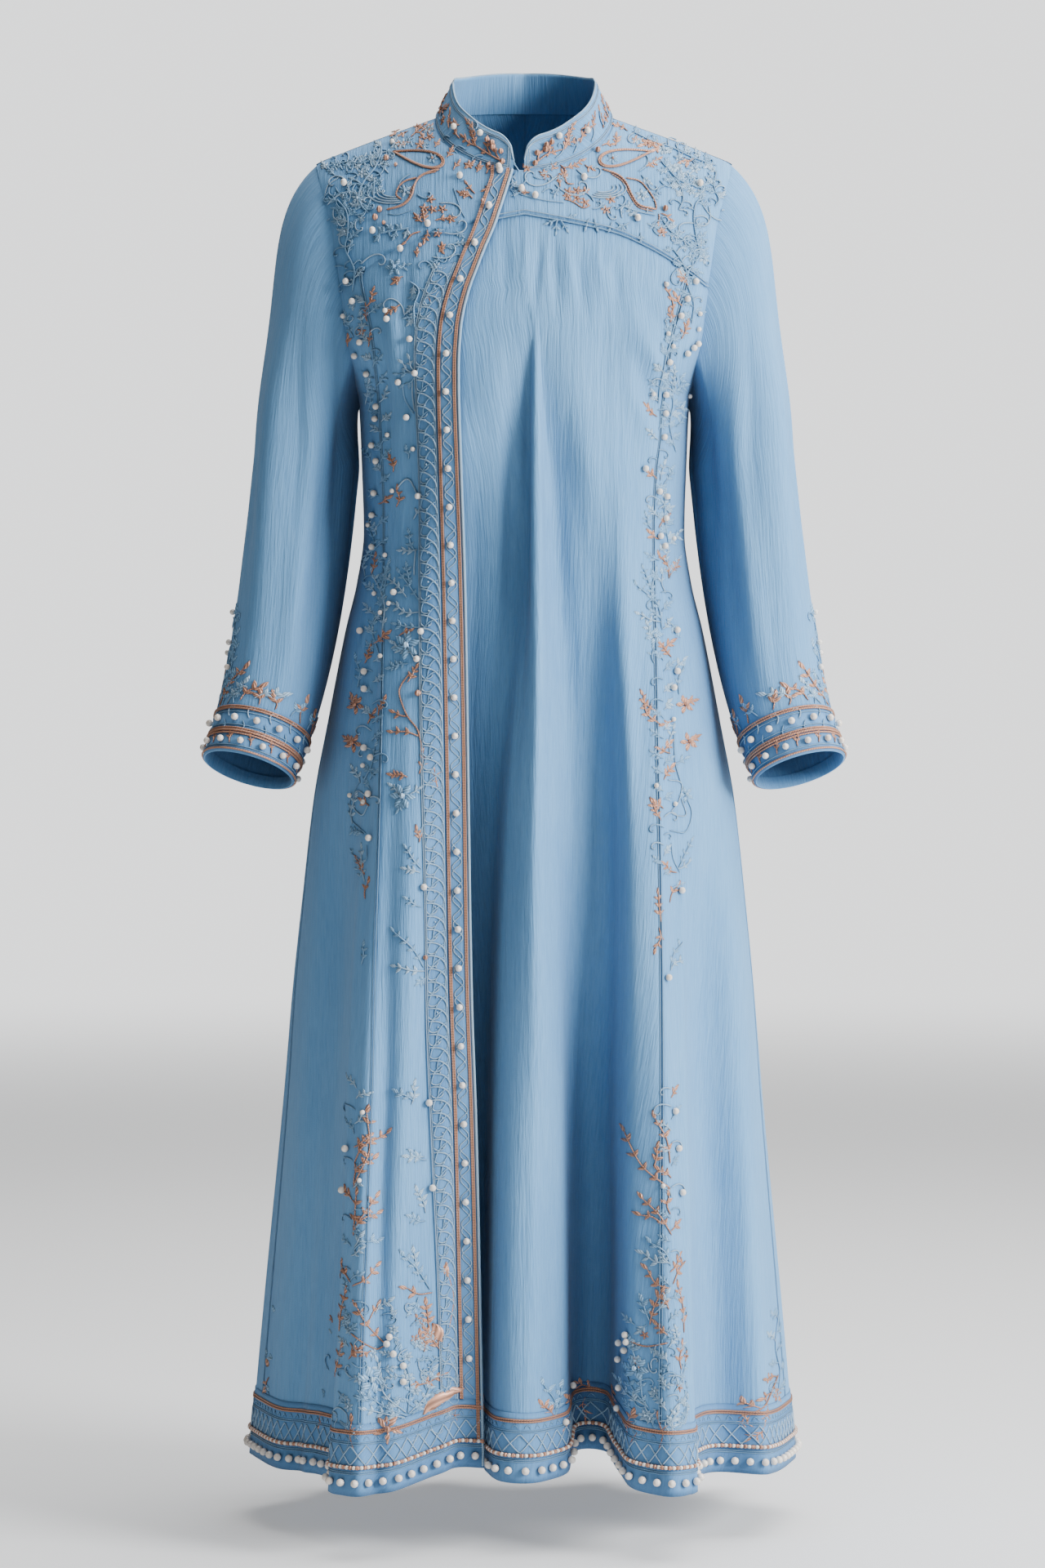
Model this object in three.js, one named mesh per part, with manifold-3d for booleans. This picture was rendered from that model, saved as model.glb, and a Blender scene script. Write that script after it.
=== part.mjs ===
// An asymmetric long dress in light blue crepe, worn by nobody: a stand collar, two front yokes, a front
// that wraps over to the wearer's right with a curved edge, a box pleat beside it, princess seams, set-in
// sleeves, and beaded bands on the front edge, the cuffs and the hem.
// Millimetres. +Z is up, the front faces -Y, and the wearer's right is at -X.
// The origin is midway between the two points where the shoulder seams meet the collar.
import * as THREE from "three";
import { mergeVertices } from "three/addons/utils/BufferGeometryUtils.js";
import Module from "manifold-3d";

// Cloth
const CLOTH_WALL = 1.6;
const BAND_WALL = 1;
const COLLAR_WALL = 2.4;
const SEAM_GAP = 0.3;
const OVERLAP_STANDOFF = 3.4; // the wrapped-over front lies this far outside the front under it

// A level is the height above the bust line. Above the bust line the rows of the body tilt, and they
// reach the sloping shoulder seam at the level RISE.
const BUST_Z = -215;
const RISE = 245;
const HEM_LEVEL = -1026;
const ARMPIT_LEVEL = -37;
const NECK_HALF = 84;
const NECK_FRONT_DROP = -57;
const NECK_BACK_RISE = 26;
const SHOULDER_SLOPE = 0.36;
const BACK_NECK_LIFT = 70;
const ROUNDNESS = 2.3; // exponent of the body's rounded section
const ARMHOLE_SHARE = 0.976; // share of the half width where the upright part of the armhole runs

// Rows of the panels. Every piece at the armhole has the same levels there.
const ARMHOLE_LEVELS = [RISE, 225, 197, 160, 117, 74, 49, 24, 0, -18, -31, ARMPIT_LEVEL];
const YOKE_ROWS = 5; // the yoke seam meets the armhole at this row
const HEM_BAND_TOP = -964;
const SKIRT_LEVELS = [-80, -125, -170, -215, -270, -345, -450, -600, -790, HEM_BAND_TOP, HEM_LEVEL];

// Section of the body at each level: half width, and for front and back the depth at the centre and the
// depth of the shelf that it keeps at its side edge, which closes to nothing at the armpit.
const SECTIONS = [
  // level, half, front, frontShelf, back, backShelf
  [245, 201, 0, -7, 0, 7],
  [237, 200, 9, -1, 25, 9],
  [220, 197, 26, 9, 51, 14],
  [196, 193, 48, 17, 71, 20],
  [171, 188, 63, 22, 81, 25],
  [147, 184, 76, 25, 87, 28],
  [122, 181, 88, 27, 91, 31],
  [73, 175, 103, 28, 97, 33],
  [24, 170, 110, 25, 99, 29],
  [0, 166, 112, 20, 99, 23],
  [-12, 162, 113, 13, 98, 15],
  [-25, 158, 114, 6, 97, 7],
  [-37, 155, 115, 0, 96, 0],
  [-95, 152, 118, 0, 92, 0],
  [-161, 150, 114, 0, 88, 0],
  [-207, 156, 118, 0, 92, 0],
  [-253, 167, 126, 0, 99, 0],
  [-346, 185, 141, 0, 115, 0],
  [-407, 196, 149, 0, 124, 0],
  [-499, 206, 158, 0, 134, 0],
  [-591, 215, 166, 0, 143, 0],
  [-685, 222, 173, 0, 151, 0],
  [-868, 238, 185, 0, 164, 0],
  [-1026, 251, 195, 0, 175, 0],
];

// Curved edge of the wrapped-over front.
const FRONT_EDGE = [
  // z, x
  [-57, -10],
  [-85, -20],
  [-103, -27],
  [-120, -35],
  [-138, -42],
  [-155, -48],
  [-175, -53],
  [-195, -56],
  [-236, -58],
  [-328, -56],
  [-400, -54],
  [-491, -52],
  [-638, -49],
  [-813, -46],
  [-933, -42],
  [-1067, -39],
  [-1227, -36],
];

// Yoke seam of either front.
const YOKE_SEAM = [
  // distance from the centre, z
  [0, -103],
  [57, -112],
  [86, -118],
  [115, -129],
  [137, -140],
  [168, -159],
];

// Guide lines of the cloth, in order round the body: seams, and ridges and hollows of folds. A front line
// has its x at five heights, from the yoke to the hem. Then come its place at the hem (x, y), how far the
// hem lifts there, and the height where its fold starts.
const LINE_HEIGHTS = [-130, -215, -376, -806, -1241];
const UNDER_LINES = [
  // name, yoke, bust, waist, knee, hemX, hemY, lift, start
  ["under_edge", -62, -100, -108, -116, -120, -116, 8, -300],
  ["under_mid", -45, -62, -66, -84, -90, -108, 8, -300],
  ["beside_pleat", -28, -30, -36, -58, -64, -100, 10, -260],
  ["pleat_hollow", -8, 4, -7, -34, -40, -103, 12, -200],
  ["pleat_left", -2, 7.5, 3, -20, -31, -146, 9, -190],
  ["pleat_ridge", 6, 11, 12, 7, 2, -186, 7, -190],
  ["pleat_right", 14, 14.5, 21, 28, 34, -152, 9, -190],
  ["recess_near", 22, 18, 32, 47, 46, -122, 22, -200],
  ["recess_far", 42, 44, 60, 72, 68, -116, 22, -320],
  ["lobe_side", 68, 72, 78, 85, 83, -150, 12, -320],
  ["lobe_crest", 96, 92, 94, 99, 100, -190, 3, -330],
  ["princess_left", 150, 134, 119, 123, 121, -206, 0, -450],
];
const OVERLAP_LINES = [
  ["princess_right", -150, -137, -128, -134, -146, -207, 0, -450],
  ["overlap_crest", -122, -112, -108, -112, -119, -201, 2, -450],
  ["overlap_slope", -98, -92, -88, -90, -92, -180, 8, -450],
  ["overlap_hollow", -66, -75, -70, -68, -64, -158, 16, -450],
];
const FRONT_EDGE_HEM = { hemX: -36, hemY: -152, lift: 15, start: -450 };
// Lines between two seams: the share of the way from one to the other, then as above.
const LEFT_SIDE_LINES = [
  // name, share, hemX, hemY, lift, start
  ["left_ridge", 0.1, 147, -207, 0, -700],
  ["left_fold_edge", 0.2, 161, -189, 0, -700],
  ["left_fold_back", 0.32, 158, -152, 3, -700],
  ["left_side_near", 0.48, 182, -122, 3, -600],
  ["left_side_far", 0.75, 228, -86, -2, -500],
  ["side_left", 1, 249, -24, -4, -400],
];
const BACK_LINES = [
  ["back_ridge_1", 0.1, 253, 38, -4, -500],
  ["back_hollow_1", 0.2, 214, 82, 2, -480],
  ["back_ridge_2", 0.3, 208, 136, 0, -560],
  ["back_hollow_2", 0.39, 138, 134, 6, -450],
  ["back_ridge_3", 0.45, 88, 182, 2, -560],
  ["centre_back", 0.5, 0, 156, 5, -480],
  ["back_ridge_4", 0.55, -80, 185, 2, -480],
  ["back_hollow_3", 0.61, -132, 140, 6, -600],
  ["back_ridge_5", 0.69, -192, 148, 2, -460],
  ["back_hollow_4", 0.79, -216, 92, 4, -560],
  ["back_ridge_6", 0.89, -255, 44, -2, -460],
  ["side_right", 1, -252, -24, 0, -400],
];
const RIGHT_SIDE_LINES = [
  ["right_side_far", 0.28, -232, -84, 0, -500],
  ["right_side_near", 0.55, -197, -120, 3, -560],
  ["right_fold_back", 0.72, -169, -152, 3, -560],
  ["right_fold_edge", 0.84, -175, -187, 0, -560],
  ["right_ridge", 0.92, -161, -205, 0, -560],
];
const SIDE_ANGLE_BUST = 90;
const SIDE_ANGLE_HEM = 80;
const FOLD_GROWTH = 0.85;

// Neckline: the turns from the centre front where the lines of the yokes start.
const NECK_TURNS = {
  left: [-33, -22, -12, -4, 4, 14, 25, 36, 48, 60, 75, 90],
  right: [-6.8, -8.6, -21.7, -28, -36, -45, -55, -66, -78, -90],
  back: [0, 6, 12, 18, 24, 30, 36, 43, 50, 57, 64, 71, 78, 84, 90],
};
const SHOULDER_SHARES = [0.25, 0.5, 0.75, 1];

// Sleeve: centre of the section, its half width and half depth, from the upper arm to the cuff's end.
const SLEEVE_SECTIONS = [
  // x, y, z, halfWidth, halfDepth
  [205, -3, -318, 50, 57],
  [212, -7, -385, 50, 54],
  [222, -15, -460, 49, 50],
  [236, -32, -535, 46, 45],
  [255, -58, -599, 43, 38],
];
const CAP_SHARE = 0.4; // share of the sleeve's rows that belong to its cap
const CAP_FULLNESS = 0.92;
const CAP_ROWS = [0, 0.1, 0.22, 0.38, 0.56, 0.76];
const TUBE_ROWS = 7;
// Soft folds of the sleeve: place round it and slant (turns), reach along it (0 to 1), depth.
const SLEEVE_FOLDS = [
  // turn, slant, from, to, depth
  [0.3, 0.1, 0.02, 0.62, -4.5],
  [0.38, 0.1, 0.04, 0.7, 3.5],
  [0.2, 0.08, 0.1, 0.8, -3.5],
  [0.7, -0.1, 0.05, 0.6, -4],
  [0.8, -0.08, 0.1, 0.75, 3],
];

// Collar
const COLLAR_HEIGHT = 37;
const COLLAR_LEAN = { side: 16, centre: 5 };
const COLLAR_CORNER = 19;
const COLLAR_ROWS = [0, 0.3, 0.65, 1];

// Trimmings of the front edge, measured in from it, and beads of all the bands.
const PLACKET = { near: 2.5, far: 21.5, beadRadius: 3.8, beadPitch: 35, beadShare: 0.5 };
const TRELLIS = { near: 22.2, far: 42 };
const HEM_BEADS = { beadRadius: 4.4, beadPitch: 14, beadShare: 0.78 };
const CUFF_BAND = { height: 47, beadRadius: 3.8, beadPitch: 19, beadShare: 0.3 };

const MATERIALS = {
  crepe: new THREE.MeshStandardMaterial({ color: 0x86afd0, roughness: 0.8, metalness: 0 }),
  band: new THREE.MeshStandardMaterial({ color: 0x5f8fbe, roughness: 0.7, metalness: 0 }),
};

const clamp = (value, low, high) => Math.min(high, Math.max(low, value));
const mix = (a, b, share) => a + (b - a) * share;
const smooth = (share) => share * share * (3 - 2 * share);
const degrees = (radians) => (radians * 180) / Math.PI;
const radians = (turn) => (turn * Math.PI) / 180;
const evenly = (count) => Array.from({ length: count + 1 }, (_, i) => i / count);

// A smooth curve that never overshoots its points: column as a function of the first column.
function curve(rows, column) {
  const points = rows.map((row) => [row[0], row[column]]).sort((a, b) => a[0] - b[0]);
  const slope = points.slice(1).map((p, i) => (p[1] - points[i][1]) / (p[0] - points[i][0]));
  const tangent = points.map((_, i) => {
    if (i === 0) return slope[0];
    if (i === points.length - 1) return slope[i - 1];
    const before = slope[i - 1];
    const after = slope[i];
    return before * after <= 0 ? 0 : (2 * before * after) / (before + after);
  });
  return (at) => {
    const x = clamp(at, points[0][0], points[points.length - 1][0]);
    let i = 0;
    while (i < points.length - 2 && x > points[i + 1][0]) i++;
    const width = points[i + 1][0] - points[i][0];
    const s = (x - points[i][0]) / width;
    const rising = (s - 1) * (s - 1) * ((1 + 2 * s) * points[i][1] + s * width * tangent[i]);
    return rising + s * s * ((3 - 2 * s) * points[i + 1][1] + (s - 1) * width * tangent[i + 1]);
  };
}

const section = {
  half: curve(SECTIONS, 1),
  front: curve(SECTIONS, 2),
  frontShelf: curve(SECTIONS, 3),
  back: curve(SECTIONS, 4),
  backShelf: curve(SECTIONS, 5),
};
const frontEdgeX = curve(FRONT_EDGE, 1);
const yokeSeamZ = curve(YOKE_SEAM, 1);

// Height of a level at a distance from the centre. The rows follow the slope of the shoulder, and at the
// back they rise towards the nape.
function heightAt(x, level, front) {
  if (level <= 0) return BUST_Z + level;
  const up = level / RISE;
  const nape = front ? 0 : Math.max(0, 1 - (x / NECK_HALF) ** 2);
  const shoulder = SHOULDER_SLOPE * (NECK_HALF - Math.abs(x));
  return mix(BUST_Z, shoulder, up) + BACK_NECK_LIFT * nape * up ** 4;
}

function levelOfZ(x, z, front) {
  let [low, high] = [HEM_LEVEL, RISE];
  for (let i = 0; i < 40; i++) {
    const middle = (low + high) / 2;
    if (heightAt(x, middle, front) < z) low = middle;
    else high = middle;
  }
  return (low + high) / 2;
}

// Point of the unfolded body at an angle from the front centre, towards +X, and a level.
function bodyAt(angle, level) {
  const turn = radians(angle);
  const front = Math.cos(turn) >= 0;
  const power = 2 / ROUNDNESS;
  const x = section.half(level) * Math.sign(Math.sin(turn)) * Math.abs(Math.sin(turn)) ** power;
  const shelf = front ? section.frontShelf(level) : section.backShelf(level);
  const centre = front ? section.front(level) : section.back(level);
  const depth = mix(shelf, centre, Math.abs(Math.cos(turn)) ** power);
  return new THREE.Vector3(x, front ? -depth : depth, heightAt(x, level, front));
}

function angleOfX(x, level) {
  const share = clamp(Math.abs(x) / section.half(level), 0, 1);
  return Math.sign(x) * degrees(Math.asin(share ** (ROUNDNESS / 2)));
}

// Guide lines as {name, hemX, hemY, lift, start, angle}, in one open turn from the hidden edge of the
// front under the overlap, by the wearer's left and the back, to the free edge of the wrapped-over front.
function sideAngle(level) {
  return mix(SIDE_ANGLE_BUST, SIDE_ANGLE_HEM, smooth(clamp(level / HEM_LEVEL, 0, 1)));
}

function frontLine(turns) {
  return ([name, ...row]) => {
    const [hemX, hemY, lift, start] = row.slice(4);
    const x = curve(LINE_HEIGHTS.map((z, i) => [z, row[i]]), 1);
    return { name, hemX, hemY, lift, start, angle: (level) => turns + angleOfX(x(BUST_Z + level), level) };
  };
}

function linesBetween(rows, from, to) {
  return rows.map(([name, share, hemX, hemY, lift, start]) => {
    return { name, hemX, hemY, lift, start, angle: (level) => mix(from(level), to(level), share) };
  });
}

const underLines = UNDER_LINES.map(frontLine(0));
const overlapLines = OVERLAP_LINES.map(frontLine(360));
const frontEdgeLine = {
  name: "front_edge",
  ...FRONT_EDGE_HEM,
  angle: (level) => 360 + angleOfX(frontEdgeX(BUST_Z + level), level),
};
const rightSide = (level) => 360 - sideAngle(level);
const LINES = [
  ...underLines,
  ...linesBetween(LEFT_SIDE_LINES, underLines[underLines.length - 1].angle, sideAngle),
  ...linesBetween(BACK_LINES, sideAngle, rightSide),
  ...linesBetween(RIGHT_SIDE_LINES, rightSide, overlapLines[0].angle),
  ...overlapLines,
  frontEdgeLine,
];
const lineNumber = (name) => LINES.findIndex((line) => line.name === name);
const UNDER_EDGE = 0;
const PRINCESS_LEFT = lineNumber("princess_left");
const SIDE_LEFT = lineNumber("side_left");
const CENTRE_BACK = lineNumber("centre_back");
const SIDE_RIGHT = lineNumber("side_right");
const PRINCESS_RIGHT = lineNumber("princess_right");
const EDGE = lineNumber("front_edge");

// How far each fold has moved its guide line off the unfolded body at the hem.
const hemOffset = LINES.map((line) => {
  const flat = bodyAt(line.angle(HEM_LEVEL), HEM_LEVEL);
  return new THREE.Vector3(line.hemX - flat.x, line.hemY - flat.y, line.lift);
});

function lineOffset(number, level) {
  const start = LINES[number].start - BUST_Z;
  const share = clamp((start - level) / (start - HEM_LEVEL), 0, 1) ** FOLD_GROWTH;
  return hemOffset[number].clone().multiplyScalar(share);
}

// Weights of the four neighbouring lines at a place between them. A place is a number along LINES.
function weights(place) {
  const first = clamp(Math.floor(place), 0, LINES.length - 2);
  const s = place - first;
  const four = [
    [first - 1, (-s + 2 * s * s - s ** 3) / 2],
    [first, (2 - 5 * s * s + 3 * s ** 3) / 2],
    [first + 1, (s + 4 * s * s - 3 * s ** 3) / 2],
    [first + 2, (-s * s + s ** 3) / 2],
  ];
  return four.map(([number, weight]) => [clamp(number, 0, LINES.length - 1), weight]);
}

const angleAt = (place, level) =>
  weights(place).reduce((sum, [number, weight]) => sum + weight * LINES[number].angle(level), 0);

// Share of the wrapped-over front's distance from the front under it. It fades towards the princess
// seam, and above the under front's neckline.
function layerShare(place, level) {
  const up = smooth(clamp(level / 150, 0, 1));
  const fadeEnd = PRINCESS_RIGHT + mix(-1, 0, up);
  const fadeStart = PRINCESS_RIGHT + mix(1, 3.2, up);
  const across = smooth(clamp((place - fadeEnd) / (fadeStart - fadeEnd), 0, 1));
  return across * (1 - smooth(clamp((level - 190) / 50, 0, 1)));
}

// Point of the cloth at a place and a level.
function clothAt(place, level) {
  const point = bodyAt(angleAt(place, level), level);
  for (const [number, weight] of weights(place)) point.addScaledVector(lineOffset(number, level), weight);
  const out = new THREE.Vector3(point.x * 0.5, point.y, 0).normalize();
  return point.addScaledVector(out, OVERLAP_STANDOFF * layerShare(place, level));
}

// Outward normal of the cloth. On the shoulder seam it has no depth, so that front and back meet there.
function normalAt(place, level) {
  const step = 0.02;
  const across = clothAt(place + step, level).sub(clothAt(place - step, level));
  const up = clothAt(place, Math.min(level + 1, RISE)).sub(clothAt(place, level - 1));
  const normal = across.cross(up).normalize();
  if (level > RISE - 0.1) normal.setY(0).normalize();
  return normal;
}

// Place between two lines where the cloth has an angle at a level.
function placeOfAngle(angle, level, low, high) {
  let [from, to] = [low, high];
  for (let i = 0; i < 40; i++) {
    const middle = (from + to) / 2;
    if (angleAt(middle, level) < angle) from = middle;
    else to = middle;
  }
  return (from + to) / 2;
}

// Lines of a panel are functions from a level to a place.
const always = (place) => () => place;
const between = (from, to, shares) =>
  shares.map((share) => {
    if (share === 0) return from;
    return share === 1 ? to : (level) => mix(from(level), to(level), share);
  });
const onLines = (first, last, perLine) =>
  between(always(first), always(last), evenly(Math.round((last - first) * perLine)));

// Angle of the armhole's edge on the wearer's left front. It runs upright above the bust line and curves
// under the arm below it.
const ARMHOLE_ANGLE = degrees(Math.asin(ARMHOLE_SHARE ** (ROUNDNESS / 2)));
const armholeAngle = (level) => mix(ARMHOLE_ANGLE, 90, smooth(clamp(level / ARMPIT_LEVEL, 0, 1)));

function armEdge(angle, side, low, high) {
  return (level) => (level <= ARMPIT_LEVEL ? side : placeOfAngle(angle(level), level, low, high));
}

const armholeFrontLeft = armEdge((level) => armholeAngle(level), SIDE_LEFT, UNDER_EDGE, SIDE_LEFT);
const armholeBackLeft = armEdge((level) => 180 - armholeAngle(level), SIDE_LEFT, SIDE_LEFT, CENTRE_BACK);
const armholeBackRight = armEdge((level) => 180 + armholeAngle(level), SIDE_RIGHT, CENTRE_BACK, SIDE_RIGHT);
const armholeFrontRight = armEdge((level) => 360 - armholeAngle(level), SIDE_RIGHT, SIDE_RIGHT, EDGE);

// Closed solid from a grid of outer points and the matching inner points. A closed grid joins its last
// column to its first.
function wallGeometry(outer, inner, closed) {
  const rows = outer.length;
  const columns = outer[0].length;
  const position = [outer, inner].flat(2).flatMap((p) => [p.x, p.y, p.z]);
  const at = (layer, r, c) => layer * rows * columns + r * columns + (c % columns);
  const index = [];
  const quad = (a, b, c, d) => index.push(a, b, c, a, c, d);
  const spans = closed ? columns : columns - 1;
  for (let r = 0; r < rows - 1; r++) {
    for (let c = 0; c < spans; c++) {
      quad(at(0, r, c), at(0, r + 1, c), at(0, r + 1, c + 1), at(0, r, c + 1));
      quad(at(1, r, c), at(1, r, c + 1), at(1, r + 1, c + 1), at(1, r + 1, c));
    }
  }
  for (let c = 0; c < spans; c++) {
    quad(at(0, 0, c), at(0, 0, c + 1), at(1, 0, c + 1), at(1, 0, c));
    quad(at(0, rows - 1, c), at(1, rows - 1, c), at(1, rows - 1, c + 1), at(0, rows - 1, c + 1));
  }
  if (!closed) {
    const end = columns - 1;
    for (let r = 0; r < rows - 1; r++) {
      quad(at(0, r, 0), at(1, r, 0), at(1, r + 1, 0), at(0, r + 1, 0));
      quad(at(0, r, end), at(0, r + 1, end), at(1, r + 1, end), at(1, r, end));
    }
  }
  const geometry = new THREE.BufferGeometry();
  geometry.setAttribute("position", new THREE.Float32BufferAttribute(position, 3));
  geometry.setIndex(index);
  return geometry;
}

// Draws the seamed edges of a grid in by half a seam gap.
function drawIn(grid, edges) {
  const rows = grid.length;
  const columns = grid[0].length;
  const pull = (point, towards) => towards.clone().sub(point).setLength(SEAM_GAP / 2);
  const made = grid.map((row) => row.map((p) => p.clone()));
  for (let r = 0; r < rows; r++) {
    if (edges.first) made[r][0].add(pull(grid[r][0], grid[r][1]));
    if (edges.last) made[r][columns - 1].add(pull(grid[r][columns - 1], grid[r][columns - 2]));
  }
  for (let c = 0; c < columns; c++) {
    if (edges.top) made[0][c].add(pull(grid[0][c], grid[1][c]));
    if (edges.bottom) made[rows - 1][c].add(pull(grid[rows - 1][c], grid[rows - 2][c]));
  }
  return made;
}

// Cloth points and normals on a grid of [place, level].
function onCloth(grid) {
  return {
    points: grid.map((row) => row.map(([place, level]) => clothAt(place, level))),
    normals: grid.map((row) => row.map(([place, level]) => normalAt(place, level))),
  };
}

function movedOut({ points, normals }, distance) {
  return points.map((row, r) => row.map((p, c) => p.clone().addScaledVector(normals[r][c], distance)));
}

function clothWall(grid, edges) {
  const cloth = onCloth(grid);
  return wallGeometry(drawIn(cloth.points, edges), drawIn(movedOut(cloth, -CLOTH_WALL), edges), false);
}

// Grid of a panel that hangs from its top edge to the hem: rows down, lines across.
function hangingGrid(across, topLevel, firstRow, besideArmhole) {
  const tops = across.map(topLevel);
  const upper = ARMHOLE_LEVELS.slice(firstRow, 9);
  const rows = upper.map((level) => tops.map((top) => (top * level) / upper[0]));
  const below = ARMHOLE_LEVELS.slice(besideArmhole ? 9 : 11);
  for (const level of [...below, ...SKIRT_LEVELS]) rows.push(across.map(() => level));
  return rows.map((levels) => levels.map((level, c) => [across[c](level), level]));
}

// Level of the yoke seam on a line that crosses it, found by closing in on it. On the armhole it is a
// row of the armhole.
function yokeLevel(line) {
  if (line === armholeFrontLeft || line === armholeFrontRight) return ARMHOLE_LEVELS[YOKE_ROWS];
  let level = 100;
  for (let i = 0; i < 40; i++) {
    const x = clothAt(line(level), level).x;
    level = mix(level, levelOfZ(x, yokeSeamZ(Math.abs(x)), true), 0.6);
  }
  return level;
}

const frontPanel = (across, besideArmhole) =>
  clothWall(hangingGrid(across, yokeLevel, YOKE_ROWS, besideArmhole), { first: true, last: true, top: true });

const princessLeft = always(PRINCESS_LEFT);
const princessRight = always(PRINCESS_RIGHT);
const underAcross = onLines(UNDER_EDGE, PRINCESS_LEFT, 2);
const sideLeftAcross = between(princessLeft, armholeFrontLeft, evenly(9));
const sideRightAcross = between(armholeFrontRight, princessRight, evenly(9));

// Place at a distance in from the free front edge.
function placeInside(level, distance) {
  const stepSize = 0.01;
  let place = EDGE;
  let before = clothAt(place, level);
  let travelled = 0;
  while (travelled < distance && place > PRINCESS_RIGHT) {
    place -= stepSize;
    const here = clothAt(place, level);
    travelled += here.distanceTo(before);
    before = here;
  }
  return place;
}

// Lines of the wrapped-over front, with the edges of its trimmings among them.
const trellisFar = (level) => placeInside(level, TRELLIS.far);
const trellisNear = (level) => placeInside(level, TRELLIS.near);
const placketFar = (level) => placeInside(level, PLACKET.far);
const placketNear = (level) => placeInside(level, PLACKET.near);
const trimLines = [trellisFar, trellisNear, placketFar, placketNear];
const overlapAcross = [
  ...between(princessRight, trellisFar, evenly(6)).slice(0, -1),
  ...trimLines,
  always(EDGE),
];
const overlapGrid = hangingGrid(overlapAcross, yokeLevel, YOKE_ROWS, false);

function neckZ(x, front) {
  const share = Math.max(0, 1 - (x / NECK_HALF) ** 2);
  return front ? NECK_FRONT_DROP * Math.sqrt(share) : NECK_BACK_RISE * share;
}

// The x of the tops of lines that start on the neckline at the given turns and then on the shoulder.
function topEdgeX(turns, side) {
  const neck = turns.map((turn) => NECK_HALF * Math.sin(radians(turn)));
  const shoulderEnd = ARMHOLE_SHARE * section.half(RISE);
  return [...neck, ...SHOULDER_SHARES.map((share) => side * mix(NECK_HALF, shoulderEnd, share))];
}

function topEdgeLevel(x, front) {
  return Math.abs(x) > NECK_HALF - 0.01 ? RISE : levelOfZ(x, neckZ(x, front), front);
}

// The back's lines start on the neckline and the shoulder seam, and are spread evenly below.
function backGrid(side) {
  const tops = topEdgeX(NECK_TURNS.back.map((turn) => side * turn), side);
  const low = side > 0 ? SIDE_LEFT : CENTRE_BACK;
  const high = side > 0 ? CENTRE_BACK : SIDE_RIGHT;
  const armhole = side > 0 ? armholeBackLeft : armholeBackRight;
  const levels = [...ARMHOLE_LEVELS, ...SKIRT_LEVELS];
  const columns = tops.map((x, c) => {
    const share = c / (tops.length - 1);
    const topLevel = topEdgeLevel(x, false);
    const topPlace = placeOfAngle(180 - angleOfX(x, topLevel), topLevel, low, high);
    return levels.map((armLevel) => {
      const level = armLevel > 0 ? (topLevel * armLevel) / RISE : armLevel;
      if (share === 1) return [armhole(level), level];
      const spread = mix(CENTRE_BACK, armhole(level), share);
      return [mix(spread, topPlace, smooth(clamp(level / topLevel, 0, 1))), level];
    });
  });
  if (side > 0) columns.reverse();
  return levels.map((_, r) => columns.map((column) => column[r]));
}

// A yoke runs from the neckline and the shoulder seam to the yoke seam. Its lines meet the seam at the
// given lines of the panels below.
function yokeGrid(turns, seams, side) {
  const tops = topEdgeX(turns, side);
  const low = side > 0 ? UNDER_EDGE : SIDE_RIGHT;
  const high = side > 0 ? SIDE_LEFT : EDGE;
  const columns = tops.map((x, c) => {
    const topLevel = topEdgeLevel(x, true);
    const seamLevel = yokeLevel(seams[c]);
    const topPlace = placeOfAngle((side > 0 ? 0 : 360) + angleOfX(x, topLevel), topLevel, low, high);
    return ARMHOLE_LEVELS.slice(0, YOKE_ROWS + 1).map((armLevel) => {
      const down = (RISE - armLevel) / (RISE - ARMHOLE_LEVELS[YOKE_ROWS]);
      const level = mix(topLevel, seamLevel, down);
      return [mix(topPlace, seams[c](level), c === tops.length - 1 ? 1 : down), level];
    });
  });
  if (side < 0) columns.reverse();
  return columns[0].map((_, r) => columns.map((column) => column[r]));
}

const leftYokeSeams = [
  ...onLines(UNDER_EDGE, PRINCESS_LEFT - 2, 1),
  ...onLines(PRINCESS_LEFT - 2, PRINCESS_LEFT, 2).slice(1),
  ...between(princessLeft, armholeFrontLeft, evenly(2)).slice(1),
];
const rightYokeSeams = [
  always(EDGE),
  placketNear,
  placketFar,
  trellisNear,
  ...between(trellisFar, princessRight, evenly(6)),
  ...between(princessRight, armholeFrontRight, evenly(3)).slice(1),
];
const leftYokeGrid = yokeGrid(NECK_TURNS.left, leftYokeSeams, 1);
const rightYokeGrid = yokeGrid(NECK_TURNS.right, rightYokeSeams, -1);
const backLeftGrid = backGrid(1);
const backRightGrid = backGrid(-1);

const ARMHOLE_MIDDLE = new THREE.Vector3(220, 0, -130);

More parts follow.
